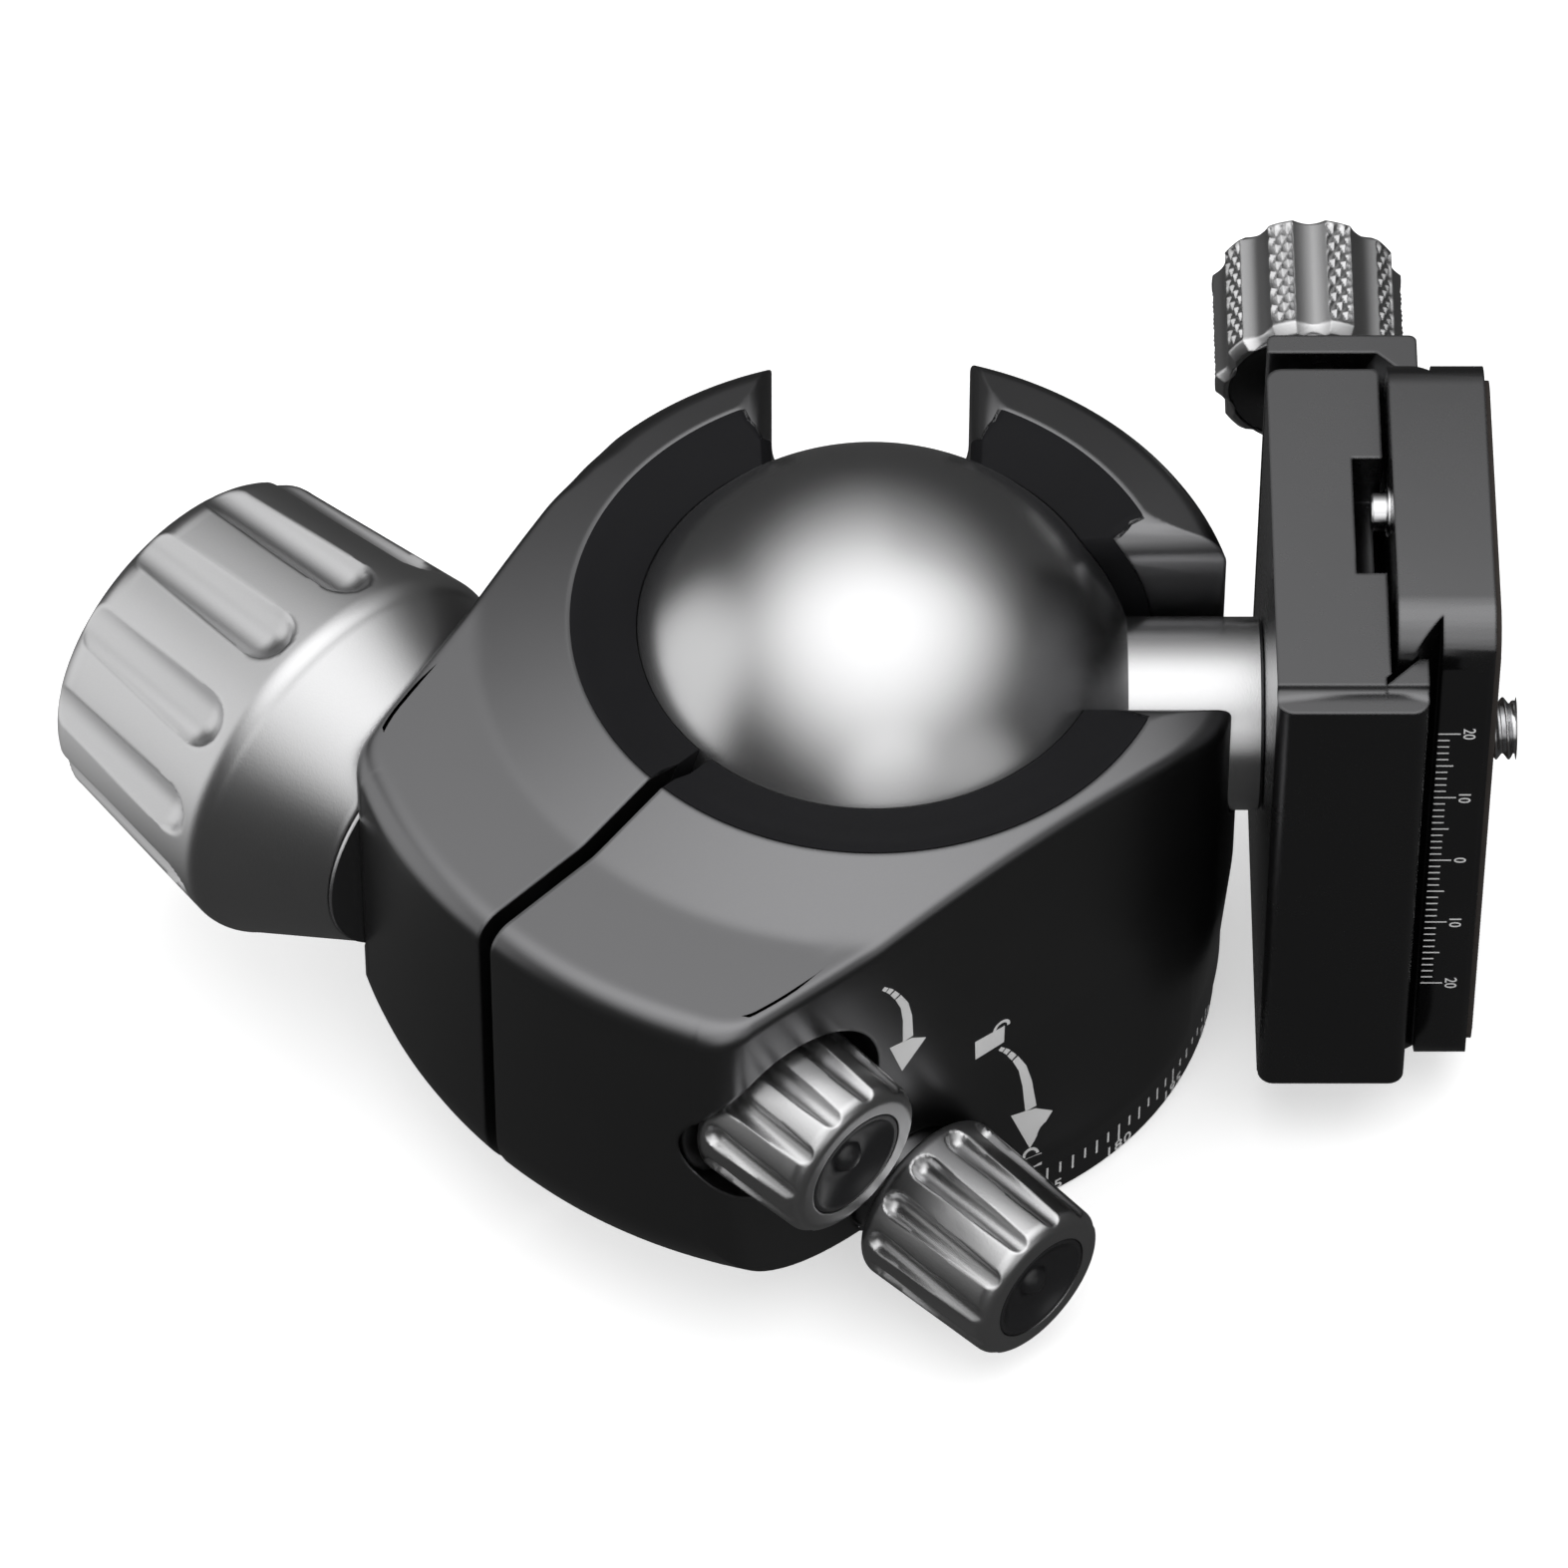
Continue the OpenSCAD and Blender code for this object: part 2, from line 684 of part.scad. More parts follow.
module cap_pocket(end_r, length, play) {
    rod(cap_share * end_r + play, length - cap_h_share * end_r - play, length + over);
}

// Dished cap with a round button
module knob_cap(end_r, length) {
    r = cap_share * end_r;
    h = cap_h_share * end_r;
    low = length - h;
    rim_in = r - h * button_share;
    button_r = r * button_share;
    rotate_extrude() polygon(concat([[0, low], [r, low], [r, length], [rim_in, length],
        [button_r * 3 / 2, low + h * cap_floor_share]],
        arc(0, low + h * cap_floor_share, button_r, 0, 90)));
}

module main_knob() {
    color(silver) on_main() translate([0, 0, main_in]) difference() {
        rotate_extrude() polygon(concat([[0, 0], [main_neck_r, 0]],
            arc(main_r - main_edge, main_ridge, main_edge, -40, 8, 3),
            arc(main_end_r - main_edge, main_l - main_edge, main_edge, 0, 90),
            [[0, main_l]]));
        knob_flutes(main_r, main_end_r, main_flute_in, flute_end_share * main_l,
            main_flute_r, main_flute_deep);
        cap_pocket(main_end_r, main_l, seat_fit);
        rod(bolt_r + seat_fit, -over, knob_grip_l + seat_fit);
    }
}

module main_knob_cap() {
    color(black) on_main() translate([0, 0, main_in]) knob_cap(main_end_r, main_l);
}

// Small knobs, from their inner end
module small_knob(length, screw_r) {
    color(silver) difference() {
        rotate_extrude() polygon(concat([[0, 0]],
            arc(small_r - small_edge, small_edge, small_edge, -90, 0),
            arc(small_end_r - small_edge, length - small_edge, small_edge, 0, 90),
            [[0, length]]));
        knob_flutes(small_r, small_end_r, small_flute_in, flute_end_share * length,
            small_flute_r, small_flute_deep);
        cap_pocket(small_end_r, length, seat_fit);
        rod(screw_r + seat_fit, -over, small_grip_l + seat_fit);
    }
}

module friction_collar() {
    color(black) on_lock(lock_off, lock_drop) difference() {
        union() {
            rod(collar_body_r, nut_in + nut_h + face_gap, friction_seat);
            rod(collar_r, friction_seat, friction_seat + collar_t);
        }
        rod(friction_screw_r + run, 0, friction_in);
    }
}

module friction_screw() {
    color(steel) on_lock(lock_off, lock_drop)
        rod(friction_screw_r, nut_in + nut_h + air, friction_in + small_grip_l);
}

module friction_knob() {
    on_lock(lock_off, lock_drop) translate([0, 0, friction_in])
        small_knob(friction_l, friction_screw_r);
}

module friction_knob_cap() {
    color(black) on_lock(lock_off, lock_drop) translate([0, 0, friction_in])
        knob_cap(small_end_r, friction_l);
}

// Pan lock
module brake_shoe() {
    color("goldenrod") difference() {
        on_lock(pan_off, pan_drop) rod(shoe_r, shoe_in, shoe_out);
        rod(drum_r + face_gap, -over, ball_z);
    }
}

module pan_neck() {
    color(black) on_lock(pan_off, pan_drop) difference() {
        union() {
            rod(neck_body_r, neck_seat - neck_body_l, neck_seat);
            translate([0, 0, neck_seat]) cylinder(r1 = neck_r, r2 = neck_end_r,
                h = pan_in - face_gap - neck_seat);
        }
        rod(pan_screw_r + run, 0, pan_in);
    }
}

module pan_screw() {
    color(steel) on_lock(pan_off, pan_drop)
        rod(pan_screw_r, shoe_out + shoe_travel + face_gap, pan_in + small_grip_l);
}

module pan_knob() {
    on_lock(pan_off, pan_drop) translate([0, 0, pan_in]) small_knob(pan_l, pan_screw_r);
}

module pan_knob_cap() {
    color(black) on_lock(pan_off, pan_drop) translate([0, 0, pan_in])
        knob_cap(small_end_r, pan_l);
}

// Clamp
module clamp_body() {
    nose_y = -(flank_y - (jaw_top - nose));
    relief_y = -(flank_y - (clamp_floor - relief));
    color(black) difference() {
        at_ball() intersection() {
            linear_extrude(clamp_l, center = true) polygon(concat(
                arc(clamp_x + clamp_edge, clamp_edge - clamp_front, clamp_edge, 180, 270),
                arc(jaw_top - clamp_edge, clamp_edge - clamp_front, clamp_edge, 270, 360),
                [[jaw_top, nose_y], [jaw_top - nose, nose_y], [clamp_floor - relief, relief_y],
                [clamp_floor - relief, relief_y + 2 * relief],
                [clamp_floor, relief_y + 3 * relief], [clamp_floor, clamp_back - relief],
                [clamp_floor - relief, clamp_back]],
                arc(clamp_x + clamp_edge, clamp_back - clamp_edge, clamp_edge, 90, 180)));
            clamp_ends();
        }
        at_ball() {
            translate([clamp_floor - channel_h, -channel_half, -clamp_l])
                cube([channel_h + over, 2 * channel_half, 2 * clamp_l]);
            for (side = [0, 1]) mirror([0, 0, side])
                translate([clamp_floor - pocket_h, -channel_half, clamp_l / 2 - pocket_l])
                    cube([pocket_h + over, 2 * channel_half, pocket_l + over]);
        }
        on_stem() {
            rod(clamp_screw_r + run, 0, clamp_floor);
            clamp_screw_head(run);
            rod(clamp_screw_head_r + run, clamp_floor - channel_h, clamp_floor + over);
        }
        on_jaw() {
            rod(jaw_screw_r + run, jaw_screw_in - air, clamp_back + over);
            guide_pins(pin_r + seat_fit);
        }
    }
}

// Upright block with round corners that trims the clamp's ends
module clamp_ends() {
    half = clamp_l / 2;
    rotate([0, 90, 0]) linear_extrude(jaw_top + over) {
        square([clamp_l - 2 * clamp_end_edge, reach], center = true);
        for (side = [-1, 1]) translate([side * (half - clamp_end_edge), 0])
            square([2 * clamp_end_edge, clamp_front + clamp_back], center = true);
    }
}

module clamp_screw_head(play) {
    top = clamp_floor - channel_h;
    translate([0, 0, top - clamp_screw_head_h]) cylinder(r1 = clamp_screw_r + play,
        r2 = clamp_screw_head_r + play, h = clamp_screw_head_h);
}

module clamp_screw() {
    top = clamp_floor - channel_h;
    color(bright) on_stem() difference() {
        union() {
            rod(clamp_screw_r, clamp_x - clamp_screw_l, top);
            clamp_screw_head(0);
        }
        rod(socket_r, top - socket_h, top + over, $fn = 6);
    }
}

module guide_pins(r) {
    for (side = [-1, 1]) translate([0, side * pin_z, 0]) rod(r, pin_in, jaw_out - face_gap);
}

module jaw_guide_pins() {
    color(bright) on_jaw() guide_pins(pin_r);
}

module movable_jaw() {
    top = jaw_top + jaw_rise;
    nose_y = flank_y - (top - nose);
    color(black) difference() {
        at_ball() linear_extrude(clamp_l, center = true) polygon(concat(
            [[jaw_x, jaw_in]],
            arc(jaw_x + jaw_edge, jaw_out - jaw_edge, jaw_edge, 180, 90),
            arc(top - jaw_edge, jaw_out - jaw_edge, jaw_edge, 90, 0),
            [[top, nose_y], [top - nose, nose_y], [flank_y - jaw_in, jaw_in]]));
        on_jaw() {
            rod(jaw_screw_r + run, 0, reach);
            for (side = [-1, 1]) translate([0, side * pin_z, 0]) rod(pin_r + run, 0, reach);
        }
    }
}

module jaw_screw() {
    color(steel) on_jaw() rod(jaw_screw_r, jaw_screw_in, clamp_knob_y + clamp_knob_l / 2);
}

module jaw_clip() {
    color(bright) on_jaw() tube(clip_r, jaw_screw_r + seat_fit,
        jaw_in - face_gap - clip_t, jaw_in - face_gap);
}

module jaw_washer() {
    color(bright) on_jaw() tube(jaw_washer_r, jaw_screw_r + seat_fit,
        jaw_out + face_gap, jaw_out + face_gap + jaw_washer_t);
}

// Black hub of the clamp knob: a neck, a disc and a core inside the grip
module clamp_knob_hub() {
    low = jaw_out + face_gap + jaw_washer_t;
    color(black) on_jaw() difference() {
        union() {
            rod(hub_neck_r, low, clamp_knob_y);
            rod(hub_disc_share * clamp_knob_r, clamp_knob_y, clamp_knob_y + hub_disc_t);
            rod(hub_core_r, clamp_knob_y, clamp_knob_y + clamp_knob_l * 3 / 4);
        }
        rod(jaw_screw_r + seat_fit, low - over, clamp_knob_y + clamp_knob_l / 2);
    }
}

module clamp_knob() {
    color(silver) on_jaw() translate([0, 0, clamp_knob_y]) difference() {
        rotate_extrude() polygon([[0, 0], [clamp_knob_r - clamp_knob_edge, 0],
            [clamp_knob_r, clamp_knob_edge], [clamp_knob_r, clamp_knob_l - clamp_knob_edge],
            [clamp_knob_r - clamp_knob_edge, clamp_knob_l], [0, clamp_knob_l]]);
        rod(hub_disc_share * clamp_knob_r + seat_fit, -over, hub_disc_t);
        rod(hub_core_r + seat_fit, -over, clamp_knob_l * 3 / 4);
        for (i = [0 : flutes - 1]) rotate([0, 0, 360 * i / flutes])
            translate([clamp_knob_r - grip_flute_deep + grip_flute_r, 0, -over])
                cylinder(r = grip_flute_r, h = clamp_knob_l + 2 * over, $fn = 48);
    }
}

// Plate
module plate_outline(inset) {
    half_l = plate_l / 2 - plate_corner;
    half_w = plate_half - plate_corner;
    for (a = [-1, 1]) for (b = [-1, 1]) translate([a * half_l, b * half_w])
        circle(r = plate_corner - inset);
    square([2 * half_l, 2 * (plate_half - inset)], center = true);
    square([plate_l - 2 * inset, 2 * half_w], center = true);
}

module round_slot(r, low, high) {
    for (side = [-1, 1]) translate([side * slot_half, 0, 0]) rod(r, low, high);
    translate([-slot_half, -r, low]) cube([2 * slot_half, 2 * r, high - low]);
}

module plate() {
    waist_y = plate_half - dove_h;
    color(black) difference() {
        at_ball() intersection() {
            linear_extrude(plate_l, center = true) polygon([[plate_low, -plate_half],
                [plate_low + flange_t, -plate_half], [waist_x, -waist_y],
                [waist_x, -plate_half], [plate_top - plate_edge, -plate_half],
                [plate_top, plate_edge - plate_half], [plate_top, plate_half - plate_edge],
                [plate_top - plate_edge, plate_half], [waist_x, plate_half],
                [waist_x, waist_y], [plate_low + flange_t, plate_half],
                [plate_low, plate_half]]);
            rotate([0, 90, 0]) linear_extrude(plate_top + over) plate_outline(0);
        }
        on_stem() {
            translate([0, 0, plate_top - pad_sink]) linear_extrude(pad_sink + over)
                plate_outline(pad_rim);
            round_slot(head_r + air, plate_low - over, bore_x);
            round_slot(screw_r + run, plate_low, plate_top);
            for (side = [-1, 1]) translate([side * stop_z, 0, 0]) {
                rod(stop_r + run, plate_low - over, plate_low + stop_sink);
                rod(stop_shank_r + seat_fit, plate_low, plate_low + stop_sink + stop_l);
            }
        }
    }
}

module rubber_pad() {
    color("#161616") on_stem() difference() {
        translate([0, 0, plate_top - pad_sink]) linear_extrude(pad_sink + pad_up)
            plate_outline(pad_rim + seat_fit);
        round_slot(screw_r + air, plate_top - pad_sink - over, plate_top + pad_up + over);
    }
}

module stop_screws() {
    color(bright) on_stem() for (side = [-1, 1]) translate([side * stop_z, 0, 0]) {
        rod(stop_tip_r, clamp_floor - stop_tip, clamp_floor + face_gap);
        rod(stop_r, clamp_floor + face_gap, plate_low + stop_sink);
        rod(stop_shank_r, plate_low + stop_sink, plate_low + stop_sink + stop_l);
    }
}

// Washer that slides along the plate's slot
module screw_washer() {
    low = plate_low + head_gap + head_h + face_gap;
    color(steel) on_stem(-screw_drop) tube(head_r, screw_r + run, low, low + slider_t);
}

module camera_screw() {
    low = plate_low + head_gap;
    color(bright) on_stem(-screw_drop) difference() {
        union() {
            rod(head_r, low, low + head_h);
            rod(screw_neck_r, low, plate_top + pad_up);
            rod(screw_r, plate_top + pad_up, plate_top + pad_up + screw_up);
        }
        translate([-coin_w / 2, -reach, low - over])
            cube([coin_w, 2 * reach, coin_h + over]);
    }
}

pan_base();
tripod_bushing();
glide_ring();
pan_washer();
retaining_ring();
retainer_screws();
housing();
lower_cup();
seat_spring();
ball_seat();
liner_front();
liner_left();
liner_rear();
bolt_bush();
thrust_washer();
tension_nut();
friction_collar();
pan_neck();
brake_shoe();
ball_and_stem();
main_knob();
main_knob_cap();
clamp_bolt();
friction_knob();
friction_knob_cap();
friction_screw();
pan_knob();
pan_knob_cap();
pan_screw();
clamp_body();
clamp_screw();
jaw_guide_pins();
movable_jaw();
jaw_screw();
jaw_clip();
jaw_washer();
clamp_knob();
clamp_knob_hub();
plate();
rubber_pad();
stop_screws();
screw_washer();
camera_screw();
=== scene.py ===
import json
import math

import bmesh
import bpy
from mathutils import Matrix, Vector

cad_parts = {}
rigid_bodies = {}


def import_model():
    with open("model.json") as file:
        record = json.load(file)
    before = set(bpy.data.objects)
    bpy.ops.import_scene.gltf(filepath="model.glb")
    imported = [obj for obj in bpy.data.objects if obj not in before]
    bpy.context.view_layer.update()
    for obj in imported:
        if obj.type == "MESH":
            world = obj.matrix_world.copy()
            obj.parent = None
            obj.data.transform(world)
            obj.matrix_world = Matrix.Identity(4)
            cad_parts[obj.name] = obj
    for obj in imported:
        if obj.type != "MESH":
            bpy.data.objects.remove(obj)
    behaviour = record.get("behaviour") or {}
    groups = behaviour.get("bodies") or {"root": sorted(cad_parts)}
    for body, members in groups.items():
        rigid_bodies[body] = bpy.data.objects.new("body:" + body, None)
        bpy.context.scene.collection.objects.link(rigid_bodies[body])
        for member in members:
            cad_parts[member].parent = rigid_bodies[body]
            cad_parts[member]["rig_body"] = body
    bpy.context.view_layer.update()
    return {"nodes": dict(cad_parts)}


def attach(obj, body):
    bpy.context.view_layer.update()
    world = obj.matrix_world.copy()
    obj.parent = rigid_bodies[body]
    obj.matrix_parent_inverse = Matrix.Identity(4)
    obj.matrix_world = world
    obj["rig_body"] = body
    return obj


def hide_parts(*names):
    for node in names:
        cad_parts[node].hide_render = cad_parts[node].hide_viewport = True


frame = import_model()

bl_info = {
    "name": "Tripod ball head",
    "version": (1, 0, 0),
    "blender": (4, 5, 0),
    "location": "3D View > Sidebar > Ball head",
    "description": "Dresses the packed ball head with detailed pieces and finishes",
    "category": "Object",
}

# Every length below is in millimetres until a piece is finished; heights of the
# housing, liner and ball are from the ball's centre.
MM = 0.001
BALL_Z = 40.0
FULL = 2 * math.pi


# ---------------------------------------------------------------- frames

def shift(x, y, z):
    return Matrix.Translation((x, y, z))


def turn(degrees, axis):
    return Matrix.Rotation(math.radians(degrees), 4, axis)


AT_BALL = shift(0, 0, BALL_Z)
ON_JAW = AT_BALL @ shift(45.7, 0, 0) @ turn(-90, "X")


def on_lock(off, drop):
    """The frame along a lock's axis, from the slit towards the small knobs."""
    return AT_BALL @ turn(315, "Z") @ shift(0, -off, -drop) @ turn(90, "Y")


ON_TENSION = on_lock(38.95, 5)
ON_PAN = on_lock(25, 27)
ON_MAIN = ON_TENSION @ Matrix.Scale(-1, 4, (0, 0, 1))


def on_stem(up=0):
    return AT_BALL @ shift(0, 0, up) @ turn(90, "Y")


def facing(bearing, out=0, up=0):
    """A frame on an upright face: x across, y up, z outwards at that bearing."""
    a = math.radians(bearing)
    across = Vector((-math.sin(a), math.cos(a), 0))
    outwards = Vector((math.cos(a), math.sin(a), 0))
    turned = Matrix((across, Vector((0, 0, 1)), outwards)).transposed().to_4x4()
    return Matrix.Translation(outwards * out + Vector((0, 0, up))) @ turned


# ---------------------------------------------------------------- numbers

def mix(a, b, t):
    return a + (b - a) * t


def ease(low, high, x):
    t = min(1.0, max(0.0, (x - low) / (high - low)))
    return t * t * (3 - 2 * t)


def soft_min(a, b, width):
    t = min(1.0, max(0.0, 0.5 + 0.5 * (b - a) / width))
    return mix(b, a, t) - width * t * (1 - t)


def arc(x, y, r, a0, a1, n=6):
    """Points of an arc from angle a0 to angle a1, in degrees."""
    return [(x + r * math.cos(math.radians(mix(a0, a1, i / n))),
             y + r * math.sin(math.radians(mix(a0, a1, i / n)))) for i in range(n + 1)]


def divided(points, step):
    """The same line with no stretch longer than step."""
    out = [points[0]]
    for a, b in zip(points, points[1:]):
        n = max(1, math.ceil(math.dist(a, b) / step))
        out += [(mix(a[0], b[0], i / n), mix(a[1], b[1], i / n)) for i in range(1, n + 1)]
    return out


# ---------------------------------------------------------------- shapes

def lathe(profile, steps, closed=False):
    """A turned shape from (radius, height) points, round the z axis."""
    bm = bmesh.new()
    verts = [bm.verts.new((r, 0, z)) for r, z in profile]
    edges = [bm.edges.new(pair) for pair in zip(verts, verts[1:])]
    if closed:
        edges.append(bm.edges.new((verts[-1], verts[0])))
    bmesh.ops.spin(bm, geom=verts + edges, cent=(0, 0, 0), axis=(0, 0, 1), angle=FULL,
                   steps=steps, use_merge=True, use_duplicate=False)
    bmesh.ops.remove_doubles(bm, verts=bm.verts, dist=1e-5)
    bmesh.ops.recalc_face_normals(bm, faces=bm.faces)
    return bm


def prism(points, low, high):
    """A flat outline pulled along the z axis from low to high."""
    bm = bmesh.new()
    face = bm.faces.new([bm.verts.new((x, y, low)) for x, y in points])
    pulled = bmesh.ops.extrude_face_region(bm, geom=[face])["geom"]
    moved = [v for v in pulled if isinstance(v, bmesh.types.BMVert)]
    bmesh.ops.translate(bm, vec=(0, 0, high - low), verts=moved)
    bmesh.ops.recalc_face_normals(bm, faces=bm.faces)
    return bm


def placed(bm, place):
    bmesh.ops.transform(bm, matrix=place, verts=bm.verts)
    if place.determinant() < 0:
        bmesh.ops.reverse_faces(bm, faces=bm.faces)
    return bm


def joined(*parts):
    """The parts' faces in one mesh."""
    whole = parts[0]
    for part in parts[1:]:
        spare = bpy.data.meshes.new("spare")
        part.to_mesh(spare)
        part.free()
        whole.from_mesh(spare)
        bpy.data.meshes.remove(spare)
    return whole


def loose_object(bm, name):
    mesh = bpy.data.meshes.new(name)
    bm.to_mesh(mesh)
    bm.free()
    obj = bpy.data.objects.new(name, mesh)
    bpy.context.scene.collection.objects.link(obj)
    return obj


def evaluated(obj):
    """The object's mesh with its modifiers applied, as a bmesh; the object goes."""
    bpy.context.view_layer.update()
    depsgraph = bpy.context.evaluated_depsgraph_get()
    mesh = bpy.data.meshes.new_from_object(obj.evaluated_get(depsgraph))
    bm = bmesh.new()
    bm.from_mesh(mesh)
    bpy.data.meshes.remove(mesh)
    old = obj.data
    bpy.data.objects.remove(obj)
    bpy.data.meshes.remove(old)
    return bm


def carved(bm, cutter, operation="DIFFERENCE"):
    """The shape with the cutter taken away, or what both share."""
    body, tool = loose_object(bm, "body"), loose_object(cutter, "tool")
    cut = body.modifiers.new("cut", "BOOLEAN")
    cut.operation, cut.solver, cut.object = operation, "EXACT", tool
    out = evaluated(body)
    old = tool.data
    bpy.data.objects.remove(tool)
    bpy.data.meshes.remove(old)
    if not out.faces:
        raise RuntimeError("a cut left nothing")
    return out


def slab(bm, centre, size, place):
    """A small flat block, for a printed line."""
    scale = Matrix.Diagonal((*size, 1))
    bmesh.ops.create_cube(bm, size=1, matrix=place @ shift(*centre) @ scale)


def patch(points, place, thick=0.03):
    """A printed patch of any outline, on a face."""
    return placed(prism(points, -thick, thick), place)


def lettering(words, size, place, wide=1.0, thick=0.03):
    """Flat figures as a mesh, centred on the frame's origin."""
    curve = bpy.data.curves.new("figures", "FONT")
    curve.body, curve.size, curve.extrude = words, size, thick
    curve.align_x, curve.align_y = "CENTER", "CENTER"
    curve.resolution_u = 3
    obj = bpy.data.objects.new("figures", curve)
    bpy.context.scene.collection.objects.link(obj)
    bpy.context.view_layer.update()
    mesh = bpy.data.meshes.new_from_object(
        obj.evaluated_get(bpy.context.evaluated_depsgraph_get()))
    bm = bmesh.new()
    bm.from_mesh(mesh)
    bpy.data.meshes.remove(mesh)
    bpy.data.objects.remove(obj)
    bpy.data.curves.remove(curve)
    bmesh.ops.remove_doubles(bm, verts=bm.verts, dist=1e-5)
    return placed(bm, place @ Matrix.Diagonal((wide, 1, 1, 1)))


def finished(name, bm, material, body, stands_for=(), sharp=35.0, metres=False):
    """Turns a shape into a piece that rides on its body."""
    if not metres:
        bmesh.ops.scale(bm, vec=(MM, MM, MM), verts=bm.verts)
    mesh = bpy.data.meshes.new(name)
    bm.to_mesh(mesh)
    bm.free()
    mesh.materials.append(material)
    mesh.shade_smooth()
    mesh.set_sharp_from_angle(angle=math.radians(sharp))
    piece = bpy.data.objects.new(name, mesh)
    bpy.context.scene.collection.objects.link(piece)
    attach(piece, body)
    if stands_for:
        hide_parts(*stands_for)
    return piece


def smoothed(node, material, sharp=28.0):
    """A merged copy of a CAD node, shaded smooth, in the node's place."""
    source = frame["nodes"][node]
    bm = bmesh.new()
    bm.from_mesh(source.data)
    bmesh.ops.remove_doubles(bm, verts=bm.verts, dist=2e-6)
    bmesh.ops.dissolve_limit(bm, angle_limit=math.radians(0.4), verts=bm.verts,
                             edges=bm.edges)
    return finished(node + "_finish", bm, material, source["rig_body"], [node],
                    sharp, metres=True)


# ---------------------------------------------------------------- shader maths

class Value:
    """One shader number: an expression on it adds its Math nodes."""

    def __init__(self, board, socket):
        self.board, self.socket = board, socket

    def __add__(self, other):
        return self.board.maths("ADD", self, other)

    def __sub__(self, other):
        return self.board.maths("SUBTRACT", self, other)

    def __rsub__(self, other):
        return self.board.maths("SUBTRACT", other, self)

    def __mul__(self, other):
        return self.board.maths("MULTIPLY", self, other)

    def __truediv__(self, other):
        return self.board.maths("DIVIDE", self, other)

    def __pow__(self, other):
        return self.board.maths("POWER", self, other)

    __radd__ = __add__
    __rmul__ = __mul__


class Board:
    """A node tree with short ways to add to it."""

    def __init__(self, tree):
        self.tree = tree
        tree.nodes.clear()

    def node(self, kind, settings=None, values=None):
        made = self.tree.nodes.new(kind)
        for key, value in (settings or {}).items():
            if key == "stops":
                ramp = made.color_ramp
                while len(ramp.elements) < len(value):
                    ramp.elements.new(0.5)
                for element, (at, shade) in zip(ramp.elements, value):
                    element.position, element.color = at, (shade, shade, shade, 1)
            else:
                setattr(made, key, value)
        for key, value in (values or {}).items():
            self.give(made.inputs[key], value)
        return made

    def give(self, socket, value):
        if isinstance(value, Value):
            value = value.socket
        if isinstance(value, bpy.types.NodeSocket):
            self.tree.links.new(value, socket)
        elif isinstance(value, (tuple, list)) and socket.type == "RGBA":
            socket.default_value = (*value[:3], 1)
        else:
            socket.default_value = value

    def maths(self, operation, *terms, clamp=False):
        made = self.node("ShaderNodeMath", {"operation": operation, "use_clamp": clamp},
                         dict(enumerate(terms)))
        return Value(self, made.outputs[0])

    def value(self, node, output=0):
        return Value(self, node.outputs[output])

    def place(self):
        return self.node("ShaderNodeTexCoord").outputs["Object"]

    def noise(self, place, scale, detail=2.0, roughness=0.5):
        made = self.node("ShaderNodeTexNoise", {"noise_dimensions": "3D"},
                         {"Vector": place, "Scale": scale, "Detail": detail,
                          "Roughness": roughness})
        return Value(self, made.outputs["Fac"])

    def step(self, value, low, high):
        made = self.node("ShaderNodeMapRange",
                         {"interpolation_type": "SMOOTHSTEP", "clamp": True},
                         {"Value": value, "From Min": low, "From Max": high,
                          "To Min": 0.0, "To Max": 1.0})
        return Value(self, made.outputs["Result"])

    def blend(self, factor, first, second):
        made = self.node("ShaderNodeMix", {"data_type": "RGBA", "blend_type": "MIX"},
                         {"Factor": factor})
        self.give(made.inputs[6], first)
        self.give(made.inputs[7], second)
        return made.outputs[2]


def new_board(name):
    material = bpy.data.materials.new(name)
    material.use_nodes = True
    return material, Board(material.node_tree)


def surface(board, base, normal, **sockets):
    values = {"Base Color": base}
    if normal is not None:
        values["Normal"] = normal
    names = {"rough": "Roughness", "metal": "Metallic", "specular": "Specular IOR Level"}
    values.update({names[k]: v for k, v in sockets.items()})
    shader = board.node("ShaderNodeBsdfPrincipled", None, values)
    board.node("ShaderNodeOutputMaterial", None, {"Surface": shader.outputs[0]})


def grained(board, place, grain, depth, edge):
    """Fine grain on an edge that is slightly rounded, as a normal."""
    values = {"Height": grain, "Strength": 1.0, "Distance": depth}
    if edge:
        values["Normal"] = board.node("ShaderNodeBevel", {"samples": 4},
                                      {"Radius": edge}).outputs[0]
    return board.node("ShaderNodeBump", None, values).outputs[0]


def metal_finish(name, shade, rough, grain_size=0.00022, grain_depth=0.000006,
                 edge=0.0003, wear=0.06, metal=1.0):
    """Blasted metal: fine grain, slow changes of gloss and a faint mottle."""
    material, board = new_board(name)
    place = board.place()
    grain = board.noise(place, 1 / grain_size, 2.0, 0.6)
    slow = board.noise(place, 70.0, 3.0, 0.55)
    cloud = board.noise(place, 900.0, 2.0, 0.5)
    base = board.blend(slow * 0.5 + grain * 0.5,
                       tuple(c * (1 - wear) for c in shade),
                       tuple(min(1.0, c * (1 + wear)) for c in shade))
    gloss = rough - 0.03 + slow * 0.04 + cloud * 0.02
    surface(board, base, grained(board, place, grain, grain_depth, edge),
            rough=gloss, metal=metal)
    return material


def turned_finish(name, shade, rough, edge=0.0002, metal=1.0):
    """Machined metal with faint fine lines."""
    material, board = new_board(name)
    place = board.place()
    lines = board.noise(place, 2600.0, 1.0, 0.4)
    slow = board.noise(place, 120.0, 2.0, 0.5)
    base = board.blend(slow, tuple(c * 0.92 for c in shade), shade)
    surface(board, base, grained(board, place, lines, 0.000003, edge),
            rough=rough + lines * 0.06, metal=metal)
    return material


